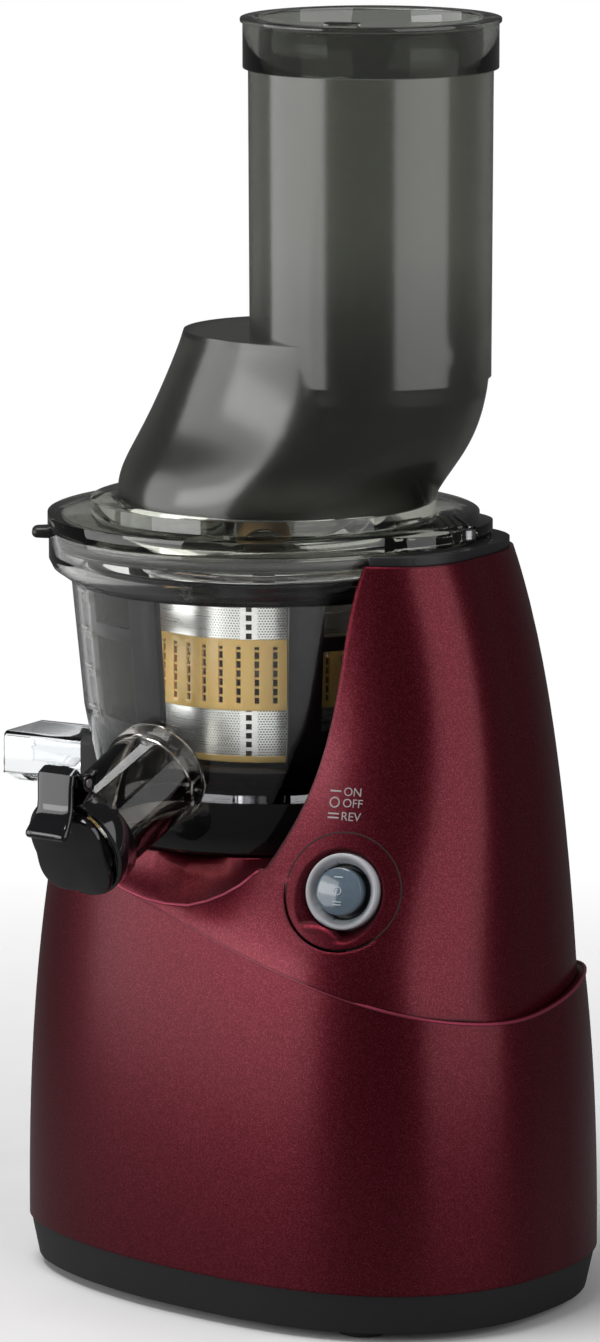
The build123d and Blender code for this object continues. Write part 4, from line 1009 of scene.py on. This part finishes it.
# ---- studio
@dataclass(frozen=True)
class Studio:
    """The pale floor, the soft boxes and the camera.

    The camera looks at the body from the front right, a little from above.
    """

    azimuth: float = 30.0
    pitch: float = 9.65
    distance: float = 2800.0
    height: float = 703.0
    focal_pixels: float = 8094.0
    frame_width: float = 600.0
    frame_height: float = 1342.0
    centre_x: float = 313.0
    centre_y: float = 644.6
    sensor: float = 36.0
    far: float = 20000.0
    aim: Corner = (0.0, 0.0, 220.0)
    boxes: tuple[tuple[str, Corner, Pair, float], ...] = (
        ("left_box", (-1295.0, -1250.0, 430.0), (2340.0, 1160.0), 18.5),
        ("high_box", (-1000.0, -1680.0, 560.0), (1300.0, 460.0), 4.5),
        ("right_box", (1770.0, -312.0, 700.0), (2000.0, 1700.0), 17.0),
        ("top_box", (-300.0, -500.0, 1900.0), (1200.0, 1000.0), 25.0))
    floor_radius: float = 6000.0
    floor_drop: float = 0.5
    floor_fade: Pair = (0.22, 0.75)
    floor_grain: float = 300.0
    floor_roughness: float = 0.85
    floor_shades: Pair = (0.86, 0.88)
    mirrored_floor: float = 0.8
    mirrored_world: float = 0.08
    spread_world: float = 0.15

    def build(self) -> None:
        """Sets the camera, the lights, the floor and the world."""
        self.camera()
        self.floor()
        self.world()
        for box in self.boxes:
            self.softbox(*box)
        bpy.context.scene.view_settings.view_transform = "Standard"

    def camera(self) -> None:
        """Places the camera and frames it as the object is framed."""
        turn, dip = math.radians(self.azimuth), math.radians(self.pitch)
        data = bpy.data.cameras.new("camera")
        data.sensor_fit = "VERTICAL"
        data.sensor_height = self.sensor
        data.lens = self.focal_pixels / self.frame_height * self.sensor
        data.shift_x = (self.frame_width / 2 - self.centre_x) / self.frame_height
        data.shift_y = (self.centre_y - self.frame_height / 2) / self.frame_height
        data.clip_end = self.far * MM
        camera = bpy.data.objects.new("camera", data)
        place = Vector((self.distance * math.sin(turn), -self.distance * math.cos(turn),
                        self.height))
        camera.location = (place + BODY_MIDDLE) * MM
        camera.rotation_euler = (math.pi / 2 - dip, 0.0, turn)
        bpy.context.scene.collection.objects.link(camera)
        bpy.context.scene.camera = camera

    def softbox(self, name: str, place: Corner, size: Pair, power: float) -> None:
        """Adds a rectangular lamp that faces the object.

        Args:
            name: the lamp's name.
            place: its middle, in millimetres.
            size: its width and height, in millimetres.
            power: its power in watts.
        """
        data = bpy.data.lights.new(name, "AREA")
        data.shape = "RECTANGLE"
        data.size, data.size_y = size[0] * MM, size[1] * MM
        data.energy = power
        lamp = bpy.data.objects.new(name, data)
        lamp.location = Vector(place) * MM
        way = Vector(self.aim) * MM - lamp.location
        lamp.rotation_euler = way.to_track_quat("-Z", "Y").to_euler()
        bpy.context.scene.collection.objects.link(lamp)

    def floor(self) -> None:
        """Adds the pale floor, which turns dark to glossy and diffuse rays: painted shade."""
        bpy.ops.object.select_all(action="DESELECT")
        bpy.ops.mesh.primitive_circle_add(vertices=96, radius=self.floor_radius * MM,
                                          fill_type="NGON")
        floor = named(bpy.context.object, "floor")
        floor.location.z = -self.floor_drop * MM
        material = bpy.data.materials.new("floor_white")
        material.use_nodes = True
        graph = Graph(material.node_tree)
        shader = graph.node("BSDF_PRINCIPLED")
        speckle = graph.add("ShaderNodeTexNoise", {"Scale": self.floor_grain})
        tone = graph.span(speckle.outputs["Fac"], 0.3, 0.7)
        white = graph.mix(tone, *((shade, shade, shade) for shade in self.floor_shades))
        # Painted shade: to glossy and diffuse rays the floor turns towards black, darkening its
        # reflections and bounced light.
        path = graph.add("ShaderNodeLightPath").outputs
        bounced = graph.maths("MAXIMUM", path["Is Glossy Ray"], path["Is Diffuse Ray"])
        mirrored = graph.maths("MULTIPLY", bounced, self.mirrored_floor)
        away = graph.add("ShaderNodeVectorMath", {0: graph.place()}, operation="LENGTH")
        fade = graph.span(away.outputs["Value"], *self.floor_fade, 1.0, 0.0)
        graph.feed(shader, {"Base Color": graph.mix(mirrored, white, (0.0, 0.0, 0.0)),
                            "Roughness": self.floor_roughness, "Alpha": fade})
        floor.data.materials.append(material)

    def world(self) -> None:
        """White behind the object for the camera and through clear plastic, grey for the rest."""
        world = bpy.data.worlds.new("studio")
        world.use_nodes = True
        bpy.context.scene.world = world
        graph = Graph(world.node_tree)
        path = graph.add("ShaderNodeLightPath").outputs
        seen = graph.maths("MAXIMUM", path["Is Camera Ray"], path["Is Transmission Ray"])
        mirrored = graph.maths("MULTIPLY", path["Is Glossy Ray"], self.mirrored_world)
        spread = graph.maths("MULTIPLY", path["Is Diffuse Ray"], self.spread_world)
        strength = graph.maths("MAXIMUM", graph.maths("MAXIMUM", seen, mirrored), spread)
        graph.feed(graph.node("BACKGROUND"), {"Color": (1.0, 1.0, 1.0, 1.0),
                                              "Strength": strength})


# ---- sub-assemblies
def wire(name: str, points: Sequence[Vector], lines: Sequence[Sequence[int]],
         radius: float) -> Obj:
    """A round wire along lines between points.

    Args:
        name: the wire's name.
        points: its points, in metres.
        lines: pairs of the points' numbers.
        radius: its radius, in millimetres.

    Returns:
        The closed mesh object.
    """
    mesh = bpy.data.meshes.new(name)
    mesh.from_pydata(points, lines, [])
    obj = bpy.data.objects.new(name, mesh)
    bpy.context.scene.collection.objects.link(obj)
    only(obj)
    bpy.ops.object.convert(target="CURVE")
    obj = bpy.context.object
    obj.data.bevel_depth = radius * MM
    obj.data.bevel_resolution = 2
    obj.data.use_fill_caps = True
    bpy.ops.object.convert(target="MESH")
    return closed_up(named(bpy.context.object, name))


def edge_bead(name: str, obj: Obj, low: float, radius: float) -> Obj:
    """A thin round bead along the outer top edge of a shell.

    Args:
        name: the bead's name.
        obj: the shell.
        low: only edges above this height count, in millimetres.
        radius: the bead's radius, in millimetres.

    Returns:
        The bead.
    """
    outward, level, upright_wall, sharp = 0.3, 0.6, 0.45, 0.8
    shell = bmesh.new()
    shell.from_mesh(obj.data)
    shell.normal_update()
    lines, numbers = [], {}
    for edge in shell.edges:
        if len(edge.link_faces) != 2 or min(v.co.z for v in edge.verts) < low * MM:
            continue
        side, top = sorted((face.normal for face in edge.link_faces), key=lambda n: n.z)
        outside = (edge.verts[0].co / MM - BODY_MIDDLE).xy.dot(side.xy) > outward
        rim = top.z > level and side.z < upright_wall and edge.calc_face_angle() > sharp
        if outside and rim:
            lines.append([numbers.setdefault(v.index, (len(numbers), v.co.copy()))[0]
                          for v in edge.verts])
    shell.free()
    return wire(name, [co for _, co in numbers.values()], lines, radius)


@dataclass(frozen=True)
class MotorBase:
    """The painted shells, the pan, the feet, the switch and what the shells hide."""

    eases: tuple[tuple[str, float], ...] = (
        ("tower_liner", 0.6), ("tower_top_plate", 0.5), ("bottom_plate", 0.0), ("cord_gland", 0.4))
    ease_angle: float = 50.0
    foot_ease: float = 0.8
    bezel_ease: float = 0.6
    rocker_ease: float = 0.3
    seam_low: float = 96.0
    seam_radius: float = 0.6
    seat_radius: float = 58.6
    seat_floor: float = 159.8
    shelf_bends: tuple[Pair, ...] = ((0.33, 0.4), (0.7, 0.78))
    shelf_steps: int = 4
    shelf_edge: tuple[Corner, ...] = (
        (-33.0, 62.0, 159.4), (-29.0, 63.6, 152.5), (-24.1, 65.2, 148.4), (-18.9, 65.4, 146.8),
        (-8.2, 66.4, 144.8), (-0.1, 67.8, 144.3), (8.3, 70.1, 144.9), (14.4, 71.9, 147.2),
        (19.5, 73.4, 150.2), (24.0, 74.9, 153.8), (27.5, 75.4, 157.6), (29.5, 74.5, 159.4))
    cutter_top: float = 166.0
    cutter_reach: float = 14.0
    cutter_overlap: float = 0.3
    cutter_fall: float = 1.0
    lip_radius: float = 0.55
    lip_sink: float = 0.1
    words: tuple[tuple[str, float], ...] = (("ON", 34.3), ("OFF", 30.4), ("REV", 25.8))
    word_left: float = -2.9
    word_height: float = 2.9
    wall_marks: tuple[Mark, ...] = (
        Mark(MarkShape.BAR, -6.0, 34.3, 4.0, 0.6), Mark(MarkShape.RING, -6.0, 30.4, 1.9, 0.5),
        Mark(MarkShape.BAR, -6.0, 26.5, 4.0, 0.55), Mark(MarkShape.BAR, -6.0, 25.1, 4.0, 0.55))
    rocker_marks: tuple[Mark, ...] = (
        Mark(MarkShape.BAR, 0.0, 4.9, 3.2, 0.45), Mark(MarkShape.RING, 0.0, 0.2, 1.5, 0.4),
        Mark(MarkShape.BAR, 0.0, -3.6, 3.2, 0.4), Mark(MarkShape.BAR, 0.0, -4.6, 3.2, 0.4))
    # The dark ring printed round the switch is painted shade in its groove.
    groove: Mark = Mark(MarkShape.RING, 0.0, 0.0, 20.7, 0.5)
    groove_film: float = 0.05

    def build(self) -> None:
        """Builds and dresses the base."""
        for node, ease in self.eases:
            recast(node, ease, 3, self.ease_angle)
        # The seam bead wears the lighter lacquer: a painted highlight along the seam.
        bead = edge_bead("seam_bead", recast("lower_housing"), self.seam_low, self.seam_radius)
        extra(bead, "lower_housing", "painted_highlight_lacquer")
        for node in BODY_OF:
            if node.startswith("foot_"):
                recast(node, self.foot_ease)
        tower = recast("upper_housing")
        self.shelf(tower)
        self.switch(tower)

    def shelf(self, wall: Obj) -> None:
        """Cuts the sloping shelf that opens the seat's front, and edges it with a raised lip in a
        painted highlight.

        Args:
            wall: the upper housing.
        """
        columns, lip = [], []
        for first, second in zip(self.shelf_edge, self.shelf_edge[1:]):
            for step in range(self.shelf_steps):
                share = step / self.shelf_steps
                heading, reach, z = (a + (b - a) * share for a, b in zip(first, second))
                wide, drop = reach - self.seat_radius, self.seat_floor - z
                section = [(self.seat_radius, self.cutter_top), (self.seat_radius, self.seat_floor),
                           *((self.seat_radius + wide * out, self.seat_floor - drop * down)
                             for out, down in self.shelf_bends),
                           (reach + self.cutter_overlap, z),
                           (reach + self.cutter_reach, z - self.cutter_fall),
                           (reach + self.cutter_reach, self.cutter_top)]
                columns.append([round_bowl(heading, *point) for point in section + section[:1]])
                lip.append(round_bowl(heading, reach, z - self.lip_sink) * MM)
        ends = [[sum(column[:-1], Vector()) / (len(column) - 1)] * len(column)
                for column in (columns[0], columns[-1])]
        cutter = skin("shelf_cutter", [ends[0], *columns, ends[1]])
        apply(wall, "BOOLEAN", operation="DIFFERENCE", object=cutter, solver="EXACT")
        bpy.data.objects.remove(cutter)
        smooth(wall)
        # The lip wears the lighter lacquer: a painted highlight along the shelf's edge.
        lines = [(i, i + 1) for i in range(len(lip) - 1)]
        extra(wire("seat_lip", lip, lines, self.lip_radius), "upper_housing", "painted_highlight_lacquer")

    def switch(self, wall: Obj) -> None:
        """Builds the switch's ring, its rocker, their marks and the painted shade in the groove
        round it.

        Args:
            wall: the upper housing.
        """
        recast("switch_bezel", self.bezel_ease, 3, key="bezel")
        rocker = recast("rocker_button", self.rocker_ease)
        for i, (text, up) in enumerate(self.words):
            mark = word(f"switch_word_{i + 1}", text, SWITCH, self.word_left,
                        up - self.word_height / 2, self.word_height)
            extra(printed(mark, wall, SWITCH), "upper_housing", "switch_print")
        for kind, marks, target, node in (("switch", self.wall_marks, wall, "upper_housing"),
                                          ("rocker", self.rocker_marks, rocker, "rocker_button")):
            for i, mark in enumerate(marks):
                flat = mark.draw(f"{kind}_mark_{i + 1}", SWITCH)
                extra(printed(flat, target, SWITCH), node, f"{kind}_print")
        # A dark film ring on the wall: painted shade in the groove round the switch.
        groove = self.groove.draw("switch_groove_shade", SWITCH)
        extra(printed(groove, wall, SWITCH, self.groove_film), "upper_housing", "groove")


@dataclass(frozen=True)
class BowlUnit:
    """The clear bowl with its base, pulp outlet, strainer and brush."""

    eases: tuple[tuple[str, float], ...] = (
        ("bowl_base", 0.6), ("pulp_outlet", 0.3), ("pulp_gasket", 0.4), ("strainer_band", 0.2),
        ("strainer_rim", 0.3))
    brush_ease: float = 0.4
    scale_heading: float = -39.0
    scale_start: float = 100.0
    scale_heights: tuple[tuple[int, float], ...] = (
        (400, 245.0), (300, 232.0), (200, 218.5), (100, 204.0))
    scale_line: Mark = Mark(MarkShape.BAR, -2.0, 3.2, 6.5, 0.5)
    number_corner: Pair = (-1.0, -0.4)
    number_height: float = 2.7
    tab_heading: float = -60.0
    tab_height: float = 265.6
    tab_path: tuple[PathRow, ...] = ((0.0, 74.0, 9.0, 4.4), (0.0, 79.5, 8.4, 4.0))
    hoops: int = 6
    hoop_start: float = 4.6
    hoop_pitch: float = 3.2
    hoop_height: float = 0.8
    hoop_depths: Pair = (1.5, 0.3)

    def build(self) -> None:
        """Builds and dresses the bowl."""
        for node, ease in self.eases:
            recast(node, ease)
        recast("brush_holder", self.brush_ease, key="frame_black")
        self.graduations(recast("bowl"))
        tab = leaning(round_bowl(self.tab_heading, 0.0, self.tab_height), self.tab_heading, 0.0)
        extra(strap("band_tab", tab, self.tab_path), "bowl", "smoke_seal")
        self.lattice()

    def graduations(self, wall: Obj) -> None:
        """Prints the millilitre marks on the bowl's left wall.

        Args:
            wall: the bowl.
        """
        for i, (amount, z) in enumerate(self.scale_heights):
            start = round_bowl(self.scale_heading, self.scale_start, z)
            place = leaning(start, self.scale_heading, 0.0)
            line = self.scale_line.draw(f"graduation_line_{i + 1}", place)
            number = word(f"graduation_number_{i + 1}", str(amount), place,
                          *self.number_corner, self.number_height)
            for mark in (line, number):
                extra(printed(mark, wall, place), "bowl", "print")

    def lattice(self) -> None:
        """Crosses the slots of the amber band with thin level hoops."""
        low, high = (Vector(corner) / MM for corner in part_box("strainer_band"))
        inner, outer = ((high.x - low.x) / 2 - depth for depth in self.hoop_depths)
        for i in range(self.hoops):
            foot = low.z + self.hoop_start + self.hoop_pitch * i
            top = foot + self.hoop_height
            outline = [(inner, foot), (outer, foot), (outer, top), (inner, top)]
            extra(spun(f"band_hoop_{i + 1}", outline), "strainer_band", "amber")


@dataclass(frozen=True)
class Spout:
    """The juice spout with its ring, its seal and the hinged cap."""

    nozzle_ease: float = 0.3
    ring_ease: float = 0.5
    seal_ease: float = 0.4
    root: float = 30.0
    nozzle_end: float = 46.0
    ring_end: float = 36.0
    nozzle_shift: float = 5.0
    ring_shift: float = 6.5
    ring_reach: float = 19.6
    flap_middle: Pair = (-0.7, -1.0)
    flap_radius: float = 16.6
    flap_lobe: float = 1.6
    flap_lobes: int = 4
    flap_steps: int = 96
    flap_section: tuple[Pair, ...] = (
        (0.0, 51.7), (0.93, 51.7), (0.985, 52.1), (1.0, 53.0), (1.0, 53.9), (0.985, 54.7),
        (0.93, 55.1), (0.0, 54.6))
    lever: tuple[PathRow, ...] = (
        (24.0, 45.0, 9.0, 3.4), (27.0, 46.4, 12.5, 3.2), (29.0, 48.3, 15.0, 3.0),
        (28.6, 50.6, 15.4, 2.8), (25.5, 52.4, 15.2, 2.8), (20.5, 54.6, 15.0, 2.8),
        (17.6, 56.2, 15.2, 3.0), (15.6, 58.4, 16.0, 3.2), (13.8, 61.0, 17.0, 3.4),
        (12.3, 63.5, 17.6, 3.6))
    web: tuple[PathRow, ...] = (
        (21.0, 53.5, 11.0, 3.6), (14.0, 54.0, 11.0, 3.6), (9.0, 53.8, 10.0, 3.0))
    pin_up: float = 22.5
    pin_out: float = 44.5
    knuckle_radii: Pair = (1.5, 3.0)
    knuckle_half: float = 4.5
    knuckle_ease: float = 0.5
    knuckle_steps: int = 32

    def build(self) -> None:
        """Lengthens the spout to its full reach and builds the flap, its lever and its hinge."""
        slid(recast("juice_nozzle", self.nozzle_ease, key="spout_smoke"), SPOUT, self.root,
             self.nozzle_end, self.nozzle_shift)
        slid(recast("nozzle_ring", self.ring_ease, 3), SPOUT, self.root, self.ring_end,
             self.ring_shift, self.ring_reach)
        slid(recast("cap_seal", self.seal_ease, key="smoke_seal"), SPOUT, self.root,
             self.ring_end, self.nozzle_shift)
        self.flap()
        for name, path in (("cap_lever", self.lever), ("cap_web", self.web)):
            extra(strap(name, SPOUT, path), "cap_flap", "black_gloss")
        self.knuckle()

    def knuckle(self) -> None:
        """Builds the cap's hinge barrel, with rounded ends, about the pin."""
        pin = Frame(SPOUT.at(0.0, self.pin_up, self.pin_out), SPOUT.up, SPOUT.out, SPOUT.across)
        bore, rim = self.knuckle_radii
        end = [(bore, self.knuckle_half),
               *((rim - self.knuckle_ease * (1 - share) ** 2,
                  self.knuckle_half - self.knuckle_ease * share ** 2)
                 for share in (0.0, 0.25, 0.5, 0.75, 1.0))]
        outline = [(radius, -height) for radius, height in end] + end[::-1]
        barrel = spun("cap_knuckle", outline, pin, self.knuckle_steps)
        extra(barrel, "cap_flap", "black_gloss")

    def flap(self) -> None:
        """Builds the lobed plate that closes the spout."""
        x, y = self.flap_middle
        turns = [math.tau * step / self.flap_steps for step in range(self.flap_steps + 1)]
        rims = [self.flap_radius - self.flap_lobe * math.cos(self.flap_lobes * turn)
                for turn in turns]
        rows = [[SPOUT.at(x + scale * rim * math.cos(turn), y + scale * rim * math.sin(turn), out)
                 for turn, rim in zip(turns, rims)] for scale, out in self.flap_section]
        plate = skin("cap_flap_dressed", rows)
        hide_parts("cap_flap")
        extra(plate, "cap_flap", SLOT_OF["cap_flap"])


@dataclass(frozen=True)
class LidUnit:
    """The lid with its ear and the feed chute."""

    eases: tuple[tuple[str, float, str], ...] = (
        ("lid", 0.4, "lid_smoke"), ("feed_chute", 0.0, "smoke_clear"),
        ("chute_collar", 0.4, "collar_smoke"), ("rim_latch", 0.4, "collar_smoke"),
        ("lid_gasket", 0.3, "smoke_seal"))
    ribs: tuple[tuple[Pair, Pair], ...] = (
        ((105.0, 62.7), (84.8, 75.4)), ((107.4, 63.6), (87.5, 76.8)),
        ((109.8, 65.6), (91.5, 76.9)), ((108.3, 68.4), (94.0, 78.7)))
    rib_height: float = 273.3
    rib_section: Pair = (1.3, 0.8)
    rib_steps: int = 12

    def build(self) -> None:
        """Builds and dresses the lid, and the ribs on its ear."""
        for node, ease, key in self.eases:
            recast(node, ease, key=key)
        up = Vector((0, 0, 1))
        for i, (start, end) in enumerate(self.ribs):
            first, second = (round_bowl(*point, self.rib_height) for point in (start, end))
            out = (second - first).normalized()
            path = [(0.0, length, *self.rib_section) for length in (0.0, (second - first).length)]
            place = Frame(first, out.cross(up), up, out)
            rib = strap(f"ear_rib_{i + 1}", place, path, self.rib_steps)
            extra(rib, "lid", "smoke_seal")


def dress_the_rest() -> None:
    """Gives each CAD node that still shows the finish of its slot."""
    for node, obj in frame["nodes"].items():
        dress(obj, SLOT_OF[node])


def main() -> None:
    """Builds the sub-assemblies in order, then the studio, and logs each one built."""
    logging.basicConfig(level=logging.INFO, format="%(name)s: %(message)s")
    dress_the_rest()
    for unit in (MotorBase(), BowlUnit(), Spout(), LidUnit()):
        unit.build()
        LOG.info("built %s", type(unit).__name__)
    Studio().build()


if __name__ == "__main__":
    main()
